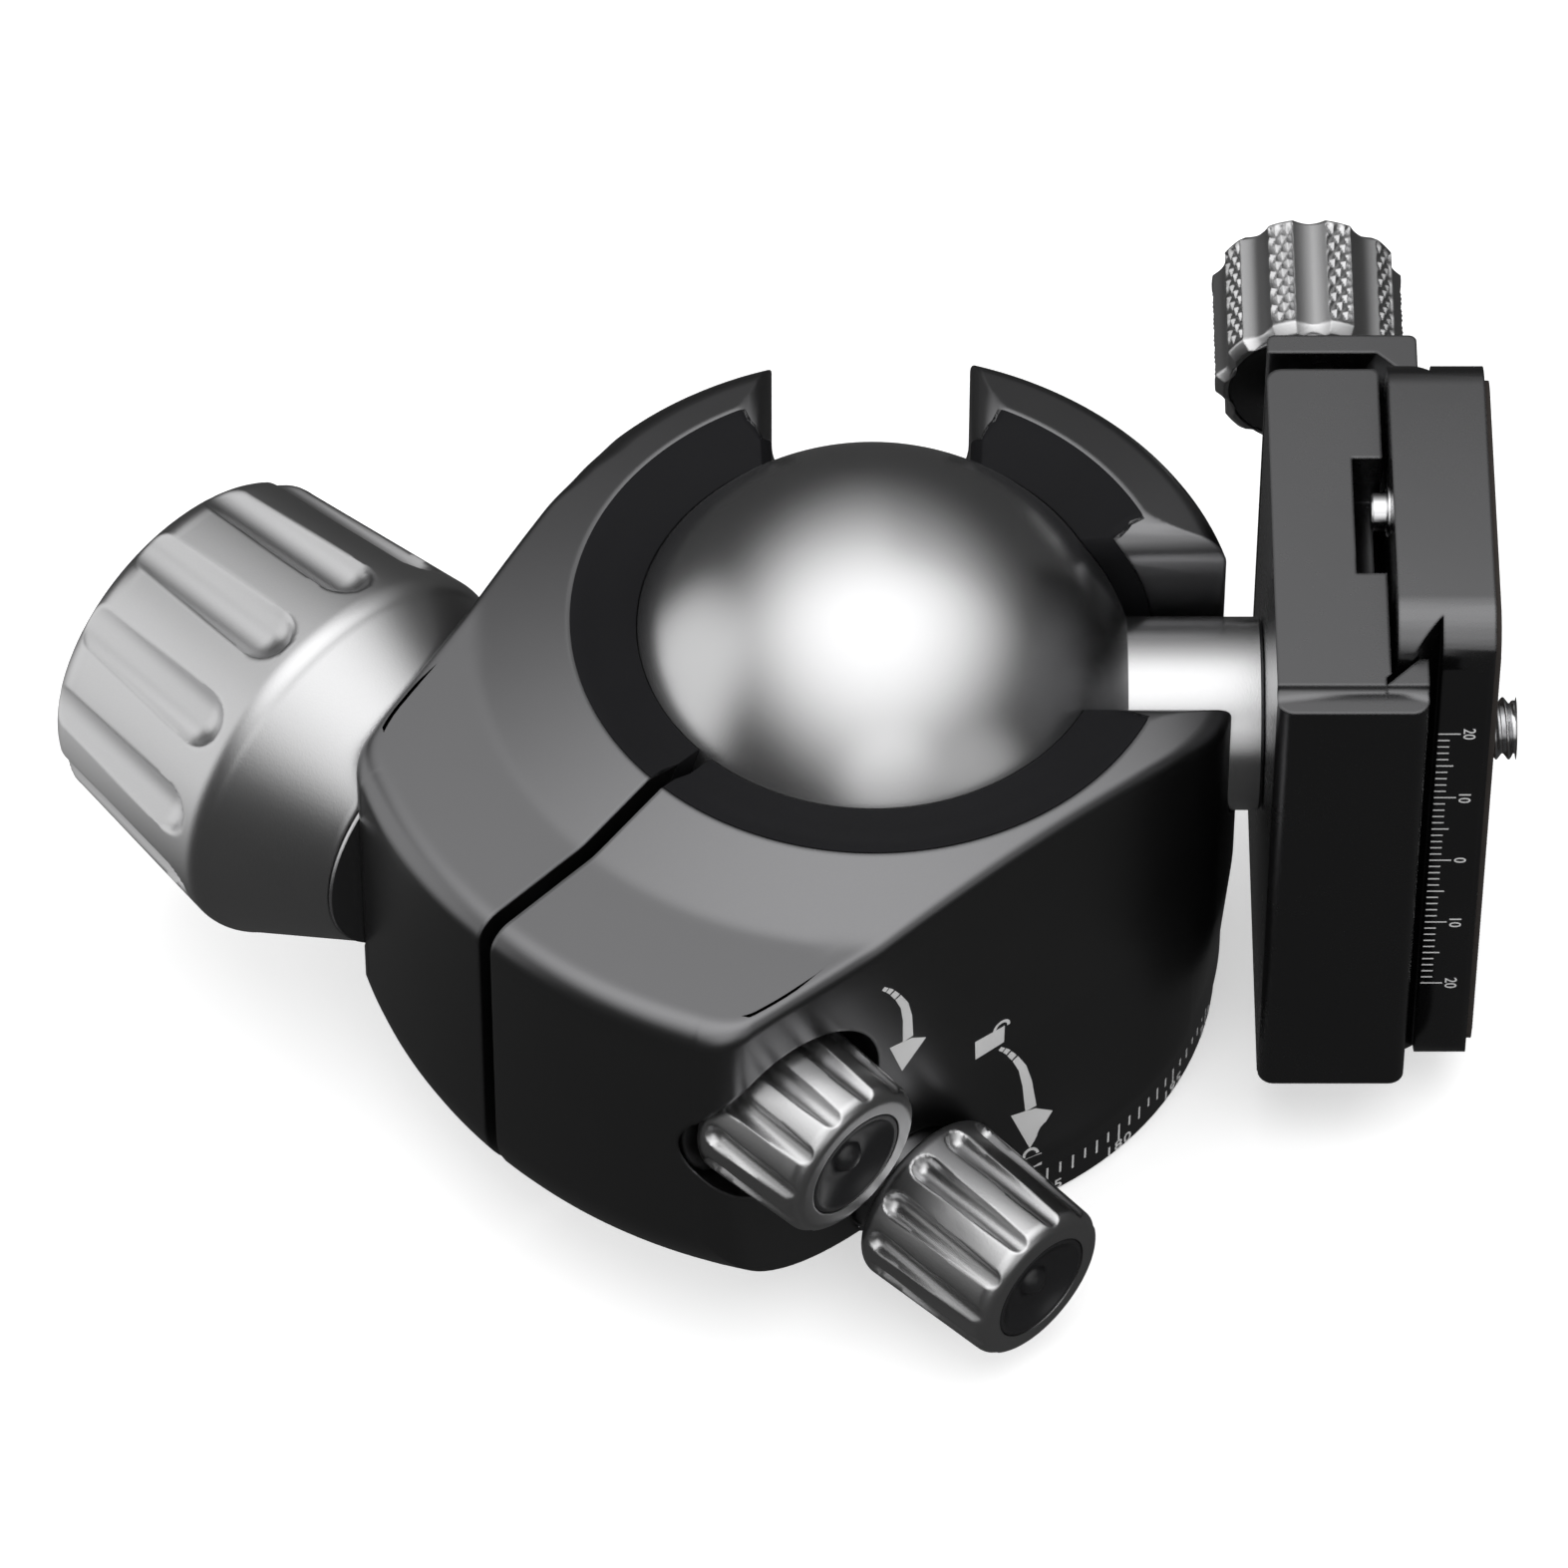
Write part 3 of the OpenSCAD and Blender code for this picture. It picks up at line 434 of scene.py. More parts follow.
def moulded_finish(name, shade, rough, grain_size=0.0004, grain_depth=0.00001,
                   edge=0.0002, specular=0.5):
    """Plastic or rubber with a fine moulded grain."""
    material, board = new_board(name)
    place = board.place()
    grain = board.noise(place, 1 / grain_size, 3.0, 0.6)
    slow = board.noise(place, 90.0, 2.0, 0.5)
    base = board.blend(slow, tuple(c * 0.8 for c in shade), tuple(c * 1.2 for c in shade))
    surface(board, base, grained(board, place, grain, grain_depth, edge),
            rough=rough + grain * 0.08, metal=0.0, specular=specular)
    return material


# ---------------------------------------------------------------- what a user sets

class BallHeadSizes(bpy.types.PropertyGroup):
    """Sizes of the visible pieces."""
    ball: bpy.props.FloatProperty(
        name="Ball", description="Diameter of the ball", default=0.055,
        min=0.05, max=0.06, unit="LENGTH")
    stem: bpy.props.FloatProperty(
        name="Stem", description="Diameter of the stem", default=0.0196,
        min=0.015, max=0.02, unit="LENGTH")
    slit: bpy.props.FloatProperty(
        name="Slit", description="Width of the clamping slit", default=0.0017,
        min=0.001, max=0.003, unit="LENGTH")
    notch: bpy.props.FloatProperty(
        name="Notch", description="Width of the stem notches", default=0.0203,
        min=0.02, max=0.022, unit="LENGTH")
    notch_fillet: bpy.props.FloatProperty(
        name="Notch rounding", description="Rounding along the tops of the notches",
        default=0.004, min=0.001, max=0.006, unit="LENGTH")
    thread_pitch: bpy.props.FloatProperty(
        name="Thread pitch", description="Pitch of the camera screw", default=0.00127,
        min=0.001, max=0.002, unit="LENGTH")


class BallHeadFinishes(bpy.types.PropertyGroup):
    """Colours and gloss of the finishes."""
    black: bpy.props.FloatVectorProperty(
        name="Black anodising", description="Tone of the black metal", subtype="COLOR",
        size=3, min=0, max=1, default=(0.19, 0.19, 0.194))
    black_rough: bpy.props.FloatProperty(
        name="Black gloss", description="Roughness of the black metal", default=0.31,
        min=0, max=1, subtype="FACTOR")
    silver: bpy.props.FloatVectorProperty(
        name="Silver anodising", description="Tone of the silver metal",
        subtype="COLOR", size=3, min=0, max=1, default=(0.63, 0.63, 0.635))
    silver_rough: bpy.props.FloatProperty(
        name="Silver gloss", description="Roughness of the silver metal", default=0.3,
        min=0, max=1, subtype="FACTOR")
    printing: bpy.props.FloatVectorProperty(
        name="Printing", description="Colour of the printed marks", subtype="COLOR",
        size=3, min=0, max=1, default=(0.6, 0.6, 0.6))


def sizes():
    return bpy.context.scene.ball_head_sizes


def in_mm(name):
    return getattr(sizes(), name) / MM


def finish(name):
    """A material by its name, made on first use."""
    found = bpy.data.materials.get(name)
    if found:
        return found
    user = bpy.context.scene.ball_head_finishes
    black, silver = tuple(user.black), tuple(user.silver)
    if name == "Black Anodised":
        return metal_finish(name, black, user.black_rough, 0.0002, 0.000004, 0.0005)
    if name == "Black Anodised Clamp":
        return metal_finish(name, tuple(c * 0.8 for c in black), user.black_rough - 0.04,
                            0.0002, 0.000004, 0.0004)
    if name == "Silver Blasted":
        return metal_finish(name, silver, user.silver_rough, 0.0002, 0.00001, 0.00025)
    if name == "Ball Satin":
        return metal_finish(name, silver, user.silver_rough - 0.04, 0.0002, 0.000004, 0.0)
    if name == "Cap Black":
        return moulded_finish(name, (0.012, 0.012, 0.013), 0.28, 0.0003, 0.000004, 0.0003)
    if name == "Friction Polymer":
        return moulded_finish(name, (0.006, 0.006, 0.007), 0.55, 0.0003, 0.000006, 0.0002,
                              0.15)
    if name == "Ribbed Rubber":
        return moulded_finish(name, (0.03, 0.024, 0.021), 0.75, 0.0002, 0.00003, 0.0)
    if name == "Glide Acetal":
        return moulded_finish(name, (0.7, 0.68, 0.6), 0.4)
    if name == "Turned Steel":
        return turned_finish(name, (0.42, 0.42, 0.43), 0.28)
    if name == "Bright Plated":
        return turned_finish(name, (0.78, 0.78, 0.79), 0.12)
    if name == "Turned Brass":
        return turned_finish(name, (0.7, 0.52, 0.22), 0.25)
    if name == "Printing":
        return moulded_finish(name, tuple(user.printing), 0.6, 0.0002, 0.000002, 0.0)
    raise RuntimeError("no finish is named " + name)


# ---------------------------------------------------------------- housing

COLLAR_R, LUG_R, FOOT_R = 37.2, 54.3, 36.35
RING_Z, DECK_Z, RING_R, DECK_R = 15.5, 13.0, 30.7, 40.0
BASE_LOW, SKIRT_LOW, LUG_LOW, LUG_EDGE = -33.5, -34.5, -31.2, 11.7
BACK_DIR, BACK_OFF, FRONT_DIR, FRONT_OFF = 148.8, 36.4, 307.9, 32.4
CORNER_R, CORNER_AT = 6.0, 48.35
SLIT_DIR = 225
SLOPE = (RING_Z - DECK_Z) / (DECK_R - RING_R)
BAND = 0.8  # half the width of the soft band between the cone and the flat top
# rounding of the upper edge, and how it differs on the prong and on the two flats
EDGE_R, PRONG_MORE, BACK_LESS, FRONT_LESS = 2.6, 1.8, 1.7, 1.1
# the collar's lower wall and the front flat's lean, from their tops to their ends
NECK_TOP, NECK_END, LEAN_TOP, LEAN_END = -18.0, -30.5, -14.0, -32.0
# bearings between which the front flat's lower wall fades in and out
FADE_IN, FADE_OUT = (277, 284), (331, 339)
TOP_ROWS, FILLET_ROWS, WALL_ROWS, LOWER_ROWS, FOOT_ROWS = 18, 8, 12, 14, 4
BEARINGS = 440


def corner_bearings():
    """Where the two round corners start and end, by bearing."""
    def turn_of(off, along):
        return math.degrees(math.atan2(along, off))
    back = math.sqrt(CORNER_AT ** 2 - (BACK_OFF - CORNER_R) ** 2)
    front = math.sqrt(CORNER_AT ** 2 - (FRONT_OFF - CORNER_R) ** 2)
    return (BACK_DIR + turn_of(BACK_OFF, back),
            BACK_DIR + turn_of(BACK_OFF - CORNER_R, back),
            FRONT_DIR - turn_of(FRONT_OFF - CORNER_R, front),
            FRONT_DIR - turn_of(FRONT_OFF, front))


BACK_START, BACK_END, FRONT_START, FRONT_END = corner_bearings()


def flat_reach(bearing, direction, off):
    return off / math.cos(math.radians(bearing - direction))


def corner_reach(bearing, centre):
    a = math.radians(bearing - centre)
    return CORNER_AT * math.cos(a) + math.sqrt(
        max(0.0, CORNER_R ** 2 - (CORNER_AT * math.sin(a)) ** 2))


def wall_reach(bearing):
    """Distance of the housing's wall from the axis."""
    b = bearing % 360
    if BACK_DIR - 45 <= b < BACK_DIR:
        return soft_min(flat_reach(b, BACK_DIR, BACK_OFF), COLLAR_R, 0.3)
    if BACK_DIR <= b < BACK_START:
        return max(flat_reach(b, BACK_DIR, BACK_OFF), BACK_OFF)
    if BACK_START <= b < BACK_END:
        return corner_reach(b, BACK_END)
    if BACK_END <= b < FRONT_START:
        return LUG_R
    if FRONT_START <= b < FRONT_END:
        return corner_reach(b, FRONT_START)
    if FRONT_END <= b < FRONT_DIR:
        return flat_reach(b, FRONT_DIR, FRONT_OFF)
    if FRONT_DIR <= b < FRONT_DIR + 45:
        return soft_min(flat_reach(b, FRONT_DIR, FRONT_OFF), COLLAR_R, 1.4)
    return COLLAR_R


def edge_radius(bearing):
    """Radius of the upper edge: soft on the round walls, tight on the flats."""
    b = bearing % 360
    on_back = ease(BACK_DIR - 4, BACK_DIR + 6, b) * (1 - ease(BACK_START - 3, BACK_END, b))
    on_front = ease(FRONT_START, FRONT_END + 3, b) * (1 - ease(329, 340, b))
    on_prong = ease(84, 97, b) * (1 - ease(BACK_DIR - 12, BACK_DIR - 3, b))
    return EDGE_R + PRONG_MORE * on_prong - BACK_LESS * on_back - FRONT_LESS * on_front


def top_height(r):
    """Height of the cone and the flat top, with a soft band between them."""
    if r <= DECK_R - BAND:
        return RING_Z - (r - RING_R) * SLOPE
    if r >= DECK_R + BAND:
        return DECK_Z
    u = (DECK_R + BAND - r) / (2 * BAND)
    return DECK_Z + SLOPE * BAND * u * u


def top_slope(r):
    return SLOPE * min(1.0, max(0.0, (DECK_R + BAND - r) / (2 * BAND)))


def lug_underside(r):
    d = r - (LUG_R - LUG_EDGE)
    if d <= 0:
        return LUG_LOW
    return LUG_LOW + LUG_EDGE - math.sqrt(max(0.0, LUG_EDGE ** 2 - d * d))


INNER = ([(35.95, SKIRT_LOW), (35.95, BASE_LOW), (29.9, BASE_LOW), (29.9, -23.6),
          (27.7, -23.6), (27.7, -7.0)]
         + arc(0, 0, 30.31, -13.35, 27.94, 8) + [(28.9, 15.2), (RING_R - 0.25, 15.42)])


def outer_line(bearing):
    """The housing's outside from its upper ring to its foot, at one bearing."""
    wall = wall_reach(bearing)
    radius = edge_radius(bearing)
    slope = math.atan(top_slope(wall - radius))
    centre_z = top_height(wall - radius) - radius / math.cos(slope)
    tangent = wall - radius + radius * math.sin(slope)
    knots = [RING_R, 32, 33.5, 35, 36.5, 38.2, DECK_R - BAND, 39.5, 39.8, 40.1, 40.4,
             DECK_R + BAND, 41.6, 44, 47, 49, 50.5]
    wide = ease(41.0, 47.0, tangent)
    line = []
    for i in range(TOP_ROWS):
        even = mix(RING_R, tangent, i / TOP_ROWS)
        at = knots[i] if i < len(knots) else tangent - 0.6
        r = mix(even, min(at, tangent - 0.05 * (TOP_ROWS - i)), wide)
        line.append((r, top_height(r)))
    start = 90 - math.degrees(slope)
    line += arc(wall - radius, centre_z, radius, start, 0, FILLET_ROWS - 1)
    # three kinds of lower wall: under the lug, on the collar, and the flat's lean
    b = bearing % 360
    collar = 1 - ease(BACK_DIR, BACK_DIR + 7, b) + ease(*FADE_OUT, b)
    lean = ease(*FADE_IN, b) * (1 - ease(*FADE_OUT, b))
    low_r = FOOT_R if lean > 0.5 else FOOT_R - 0.05
    ends = (lug_underside(wall), NECK_TOP, LEAN_TOP)
    weights = (max(0.0, 1 - collar - lean), collar, lean)
    low = sum(w * z for w, z in zip(weights, ends))
    for i in range(1, WALL_ROWS + 1):
        line.append((wall, mix(centre_z, low, i / WALL_ROWS)))
    for i in range(1, LOWER_ROWS + 1):
        s = i / LOWER_ROWS
        r_lug = wall - (wall - low_r) * s ** 2.2
        lug = (r_lug, lug_underside(r_lug))
        neck = (mix(wall, low_r, s), mix(NECK_TOP, NECK_END, s))
        leaning = (mix(wall, low_r, s ** 1.7), mix(LEAN_TOP, LEAN_END, s))
        line.append(tuple(sum(w * p[k] for w, p in zip(weights, (lug, neck, leaning)))
                          for k in (0, 1)))
    top = line[-1][1]
    for i in range(1, FOOT_ROWS + 1):
        line.append((low_r, mix(top - 0.15, SKIRT_LOW, i / FOOT_ROWS)))
    return INNER + line


def laid_on_wall(bm):
    """Moves flat marks out onto the housing's real wall."""
    for v in bm.verts:
        bearing = math.degrees(math.atan2(v.co.y, v.co.x)) % 360
        r, z = math.hypot(v.co.x, v.co.y), v.co.z - BALL_Z
        wall = outer_line(bearing)[len(INNER) + TOP_ROWS + FILLET_ROWS:]
        here = wall[0][0]
        for (r0, z0), (r1, z1) in zip(wall, wall[1:]):
            if z1 <= z <= z0 and z1 < z0:
                here = mix(r0, r1, (z0 - z) / (z0 - z1))
        shift_out = here - flat_reach(bearing, FRONT_DIR, FRONT_OFF)
        v.co.x *= (r + shift_out) / r
        v.co.y *= (r + shift_out) / r
    return bm


def spread_bearings(count):
    """Bearings in order, closer together where the wall bends."""
    def weight(b):
        w = 1.0
        w += 6 * (ease(BACK_START - 2, BACK_START, b) - ease(BACK_END, BACK_END + 2, b))
        w += 6 * (ease(FRONT_START - 2, FRONT_START, b) - ease(FRONT_END, FRONT_END + 2, b))
        w += 1.5 * (ease(328, 332, b) - ease(340, 344, b))
        return w
    fine = 3600
    total, sums = 0.0, [0.0]
    for i in range(fine):
        total += weight((i + 0.5) * 360 / fine)
        sums.append(total)
    out, at = [], 0
    for k in range(count):
        goal = total * k / count
        while sums[at + 1] < goal:
            at += 1
        out.append((at + (goal - sums[at]) / (sums[at + 1] - sums[at])) * 360 / fine)
    return out


def notch_cutter(bearing):
    """One stem notch, flared by the rounding along its upper edges."""
    half, soft = in_mm("notch") / 2, in_mm("notch_fillet")
    top = RING_Z + 0.02
    right = arc(half + soft, top - soft, soft, 180, 90, 10)
    outline = (arc(0, 0, half, 180, 360, 40) + right + [(half + soft, 30),
               (-half - soft, 30)] + [(-x, y) for x, y in reversed(right)])
    return placed(prism(outline, 15, 62), AT_BALL @ facing(bearing))


def slit_cutter():
    """The clamping slit: through the lug, and down to a floor inside the collar."""
    half = in_mm("slit") / 2
    outline = [(15, -26.5), (COLLAR_R, -26.5), (COLLAR_R, -42), (72, -42), (72, 30),
               (15, 30)]
    a = math.radians(SLIT_DIR)
    out = Vector((math.cos(a), math.sin(a), 0))
    across = Vector((math.sin(a), -math.cos(a), 0))
    place = Matrix((out, Vector((0, 0, 1)), across)).transposed().to_4x4()
    return placed(prism(outline, -half, half), AT_BALL @ place)


def housing_shape():
    """A turned shape with each of its lines moved to the wall at its bearing."""
    rows = len(outer_line(0))
    bearings = spread_bearings(BEARINGS)
    bm = lathe([(1.0, float(i)) for i in range(rows)], len(bearings), closed=True)
    lines = [outer_line(b) for b in bearings]
    for v in bm.verts:
        k = round(math.degrees(math.atan2(v.co.y, v.co.x)) % 360 / 360 * len(bearings))
        k %= len(bearings)
        r, z = lines[k][round(v.co.z)]
        a = math.radians(bearings[k])
        v.co = Vector((r * math.cos(a), r * math.sin(a), z + BALL_Z))
    bmesh.ops.remove_doubles(bm, verts=bm.verts, dist=1e-4)
    bmesh.ops.recalc_face_normals(bm, faces=bm.faces)
    return bm


class BALLHEAD_OT_housing(bpy.types.Operator):
    """Make the black housing with its notches, slit, flats and pockets"""
    bl_idname = "ball_head.housing"
    bl_label = "Housing"

    def execute(self, context):
        cutters = joined(
            notch_cutter(0), notch_cutter(90), slit_cutter(),
            placed(lathe([(0, 23.8), (14.9, 23.8), (14.9, 24.4), (21.7, 37.4), (21.7, 80),
                          (0, 80)], 128), ON_MAIN),
            placed(lathe([(0, 21.3), (10.6, 21.3), (10.6, 60), (0, 60)], 96), ON_TENSION),
            placed(lathe([(0, 28.4), (6.8, 28.4), (6.8, 31.4), (9.7, 31.4), (9.7, 60),
                          (0, 60)], 96), ON_PAN))
        shape = carved(housing_shape(), cutters)
        finished("housing_body", shape, finish("Black Anodised"), "housing",
                 ["housing"], 32)
        return {"FINISHED"}


class BALLHEAD_OT_liner(bpy.types.Operator):
    """Make the dark friction liner round the ball"""
    bl_idname = "ball_head.liner"
    bl_label = "Liner"

    def execute(self, context):
        ring = (arc(0, 0, 27.58, -14.7, 30.6, 16)
                + [(23.9, 14.15), (26.6, 14.3), (28.85, 15.32), (30.35, 15.49),
                   (30.35, 15.3), (28.95, 15.05), (26.95, 14.0)]
                + arc(0, 0, 30.26, 27.5, -13.4, 12))
        cutters = joined(notch_cutter(0), notch_cutter(90), slit_cutter())
        shape = carved(placed(lathe(ring, 240, closed=True), AT_BALL), cutters)
        finished("friction_liner", shape, finish("Friction Polymer"), "housing",
                 ["liner_front", "liner_left", "liner_rear"])
        return {"FINISHED"}


# ---------------------------------------------------------------- ball and knobs

class BALLHEAD_OT_ball(bpy.types.Operator):
    """Make the silver ball with its stem"""
    bl_idname = "ball_head.ball"
    bl_label = "Ball and stem"

    def execute(self, context):
        r, neck = in_mm("ball") / 2, in_mm("stem") / 2
        meet = math.degrees(math.acos(neck / r))
        profile = (arc(0, 0, r, -90, meet, 90)
                   + [(neck, 32), (neck, 39.0), (neck - 0.3, 39.3), (0, 39.3)])
        finished("ball_with_stem", placed(lathe(divided(profile, 1.2), 192), on_stem()),
                 finish("Ball Satin"), "ball", ["ball_and_stem"], 25)
        return {"FINISHED"}


def fluted(bm, count, first_r, last_r, first_z, last_z, flute_r, deep, soft):
    """Presses tapering flutes into a turned knob."""
    first = first_r - deep + flute_r
    rise = (last_r + flute_r - first) / (last_z - first_z)
    pitch = FULL / count
    for v in bm.verts:
        r = math.hypot(v.co.x, v.co.y)
        if r < first_r * 0.7:
            continue
        a = math.atan2(v.co.y, v.co.x)
        phi = (a % pitch) - pitch / 2
        z = v.co.z - first_z
        reach = flute_r ** 2 - min(0.0, z) ** 2
        at = first + rise * max(0.0, z)
        under = reach - (at * math.sin(phi)) ** 2
        if reach <= 0 or under <= 0:
            continue
        cut = soft_min(r, at * math.cos(phi) - math.sqrt(under), soft)
        if cut < r:
            v.co.x *= cut / r
            v.co.y *= cut / r
    return bm


CAP_WIDE, CAP_DEEP = 0.68, 0.28  # shares of a knob's end radius
KNOB_FLUTES = 12
SMALL_R, SMALL_END, SMALL_EDGE = 9.3, 8.7, 1.5
MAIN_L, MAIN_R, MAIN_END, MAIN_EDGE, MAIN_RIDGE = 36.6, 21.3, 19.0, 3.2, 13


def knob_cap(end_r, length):
    """Dished cap with a step ring and a round button."""
    r = CAP_WIDE * end_r
    h = CAP_DEEP * end_r
    low, floor, button = length - h, length - h * 0.55, r * 0.3
    return lathe([(0, low), (r, low), (r, length - 0.15), (r - 0.12, length - 0.03),
                  (r * 0.9, length - 0.03), (r * 0.87, length - 0.1 * h),
                  (button * 1.75, floor), (button * 1.15, floor)]
                 + arc(0, floor - button * 0.35, button * 1.06, 20, 90, 10), 96)


def small_knob(length):
    """A small fluted knob, open at its end for the cap."""
    r, end, edge = SMALL_R, SMALL_END, SMALL_EDGE
    pocket, floor = CAP_WIDE * end + 0.06, length - CAP_DEEP * end
    profile = ([(0, 0)] + arc(r - edge, edge, edge, -90, 0, 10)
               + arc(end - edge, length - edge, edge, 0, 90, 10)
               + [(pocket, length), (pocket, floor), (0, floor)])
    bm = lathe(divided(profile, 0.22), 312)
    return fluted(bm, KNOB_FLUTES, r, end - 0.5, 3.0, length, 1.35, 1.25, 0.12)


class BALLHEAD_OT_main_knob(bpy.types.Operator):
    """Make the large fluted lock knob"""
    bl_idname = "ball_head.main_knob"
    bl_label = "Main knob"

    def execute(self, context):
        pocket, floor = CAP_WIDE * MAIN_END + 0.08, MAIN_L - CAP_DEEP * MAIN_END
        edge = MAIN_EDGE
        profile = ([(0, 0), (14.2, 0), (14.5, 0.3)]
                   + arc(MAIN_R - edge, MAIN_RIDGE, edge, -40, 8, 10)
                   + arc(MAIN_END - edge, MAIN_L - edge, edge, 0, 90, 12)
                   + [(pocket, MAIN_L), (pocket, floor), (0, floor)])
        bm = lathe(divided(profile, 0.42), 432)
        fluted(bm, KNOB_FLUTES, MAIN_R, MAIN_END - 1.3, 17.6, MAIN_L, 3.5, 2.3, 0.12)
        place = ON_MAIN @ shift(0, 0, 24.4)
        finished("main_knob_grip", placed(bm, place), finish("Silver Blasted"),
                 "main_lock", ["main_knob"], 50)
        finished("main_knob_dish", placed(knob_cap(MAIN_END, MAIN_L), place),
                 finish("Cap Black"), "main_lock", ["main_knob_cap"], 40)
        return {"FINISHED"}


class BALLHEAD_OT_small_knobs(bpy.types.Operator):
    """Make the friction knob and the pan knob with their dished caps"""
    bl_idname = "ball_head.small_knobs"
    bl_label = "Small knobs"

    def execute(self, context):
        for name, place, start, length, body in (
                ("friction_knob", ON_TENSION, 22.65, 13.8, "friction_lock"),
                ("pan_knob", ON_PAN, 31.8, 17.1, "pan_lock")):
            here = place @ shift(0, 0, start)
            finished(name + "_grip", placed(small_knob(length), here),
                     finish("Silver Blasted"), body, [name], 50)
            finished(name + "_dish", placed(knob_cap(SMALL_END, length), here),
                     finish("Cap Black"), body, [name + "_cap"], 40)
        return {"FINISHED"}


class BALLHEAD_OT_clamp_knob(bpy.types.Operator):
    """Make the clamp's knob with flutes and knurled strips"""
    bl_idname = "ball_head.clamp_knob"
    bl_label = "Clamp knob"

    def execute(self, context):
        r, length, periods = 9.9, 15.7, 10
        column, row = FULL / 400, 0.29
        profile = ([(8.53, 0.9), (8.53, 0.0), (9.0, 0), (r - 0.1, 0.8), (r, 1.0)]
                   + [(r, 1.0 + i * row) for i in range(1, 48)]
                   + [(r, 14.8), (r - 0.9, length), (0, length)])
        bm = lathe(profile, 400)
        pitch = FULL / periods
        for v in bm.verts:
            at, z = math.hypot(v.co.x, v.co.y), v.co.z
            if at < 8.6:
                continue
            a = math.atan2(v.co.y, v.co.x)
            phi = abs((a % pitch) - pitch / 2)
            half = 12 * column
            if phi < half:
                depth = 0.75 * (1 - (phi / half) ** 2)
            else:
                u = (a % pitch - pitch / 2 - half) / (8 * column)
                w = (z - 1.6) / (8 * row)
                near, far = ease(1.3, 1.6, z), 1 - ease(14.3, 14.6, z)
                rise = min(abs(((u + w) % 1) * 2 - 1), abs(((u - w) % 1) * 2 - 1))
                depth = 0.42 * (1 - rise) * near * far
            v.co.x *= (at - depth) / at
            v.co.y *= (at - depth) / at
        place = ON_JAW @ shift(0, 0, 43.3)
        finished("clamp_knob_grip", placed(bm, place), finish("Silver Blasted"), "jaw_lock",
                 ["clamp_knob"], 25)
        hub = lathe([(0, 24.6), (4.5, 24.6), (4.5, 43.0), (5.0, 43.2), (8.3, 43.5),
                     (8.5, 43.65), (8.5, 44.2), (0, 44.2)], 96)
        finished("clamp_knob_neck", placed(hub, ON_JAW), finish("Black Anodised Clamp"),
                 "jaw_lock", ["clamp_knob_hub"], 30)
        return {"FINISHED"}


# ---------------------------------------------------------------- clamp and plate

class BALLHEAD_OT_clamp(bpy.types.Operator):
    """Finish the clamp's body and jaw"""
    bl_idname = "ball_head.clamp"
    bl_label = "Clamp"

    def execute(self, context):
        smoothed("clamp_body", finish("Black Anodised Clamp"))
        smoothed("movable_jaw", finish("Black Anodised Clamp"))
        return {"FINISHED"}


def threaded(bm, r, low, high, pitch, deep):
    """Presses a thread into a dense rod."""
    for v in bm.verts:
        at = math.hypot(v.co.x, v.co.y)
        if at < r * 0.9 or not low <= v.co.z <= high:
            continue
        phase = (v.co.z / pitch - math.atan2(v.co.y, v.co.x) / FULL) % 1
        flank = min(1.0, max(0.0, abs(phase * 2 - 1) * 1.3 - 0.15))
        cut = deep * (1 - flank)
        taper = 0.8 * ease(high - 0.5, high, v.co.z)
        new = max(r - deep, r - cut - taper * 0.5)
        v.co.x *= new / at
        v.co.y *= new / at
    return bm


class BALLHEAD_OT_plate(bpy.types.Operator):
    """Finish the plate, its rubber pad and its screws"""
    bl_idname = "ball_head.plate"
    bl_label = "Plate"

    def execute(self, context):
        smoothed("plate", finish("Black Anodised Clamp"))
        smoothed("rubber_pad", finish("Ribbed Rubber"))
        ribs = bmesh.new()
        for i in range(-52, 53):
            z = i * 0.57
            slab(ribs, (61.3, 0, z), (0.5, 34.7, 0.3), AT_BALL)
        finished("rubber_pad_ribs", ribs, finish("Ribbed Rubber"), "plate")
        r, low, top, end = 3.175, 51.6, 61.5, 65.3
        screw = lathe([(0, low), (6.8, low), (7, low + 0.2), (7, low + 1.6),
                       (2.7, low + 1.6), (2.7, top), (r - 0.6, top)]
                      + divided([(r, top), (r, end)], 0.07)
                      + [(r - 0.9, end), (0, end)], 96)
        threaded(screw, r, top, end, in_mm("thread_pitch"), 0.62)
        finished("camera_screw_thread", placed(screw, on_stem(-2.4)),
                 finish("Bright Plated"), "camera_screw",
                 ["camera_screw"], 60)
        profile = [(0, 49.2), (1.7, 49.2), (1.9, 49.4), (1.9, 50.7), (2.2, 50.7),
                   (2.5, 50.85), (2.5, 51.1), (2.2, 51.25), (2.5, 51.4), (2.5, 51.65),
                   (2.2, 51.8), (2.5, 52.0), (1.5, 52.0), (1.5, 57.0), (0, 57.0)]
        stops = [placed(lathe(profile, 64), on_stem(side)) for side in (-31.5, 31.5)]
        finished("stop_screw_pair", joined(*stops), finish("Bright Plated"), "plate",
                 ["stop_screws"], 30)
        return {"FINISHED"}


# ---------------------------------------------------------------- printed marks

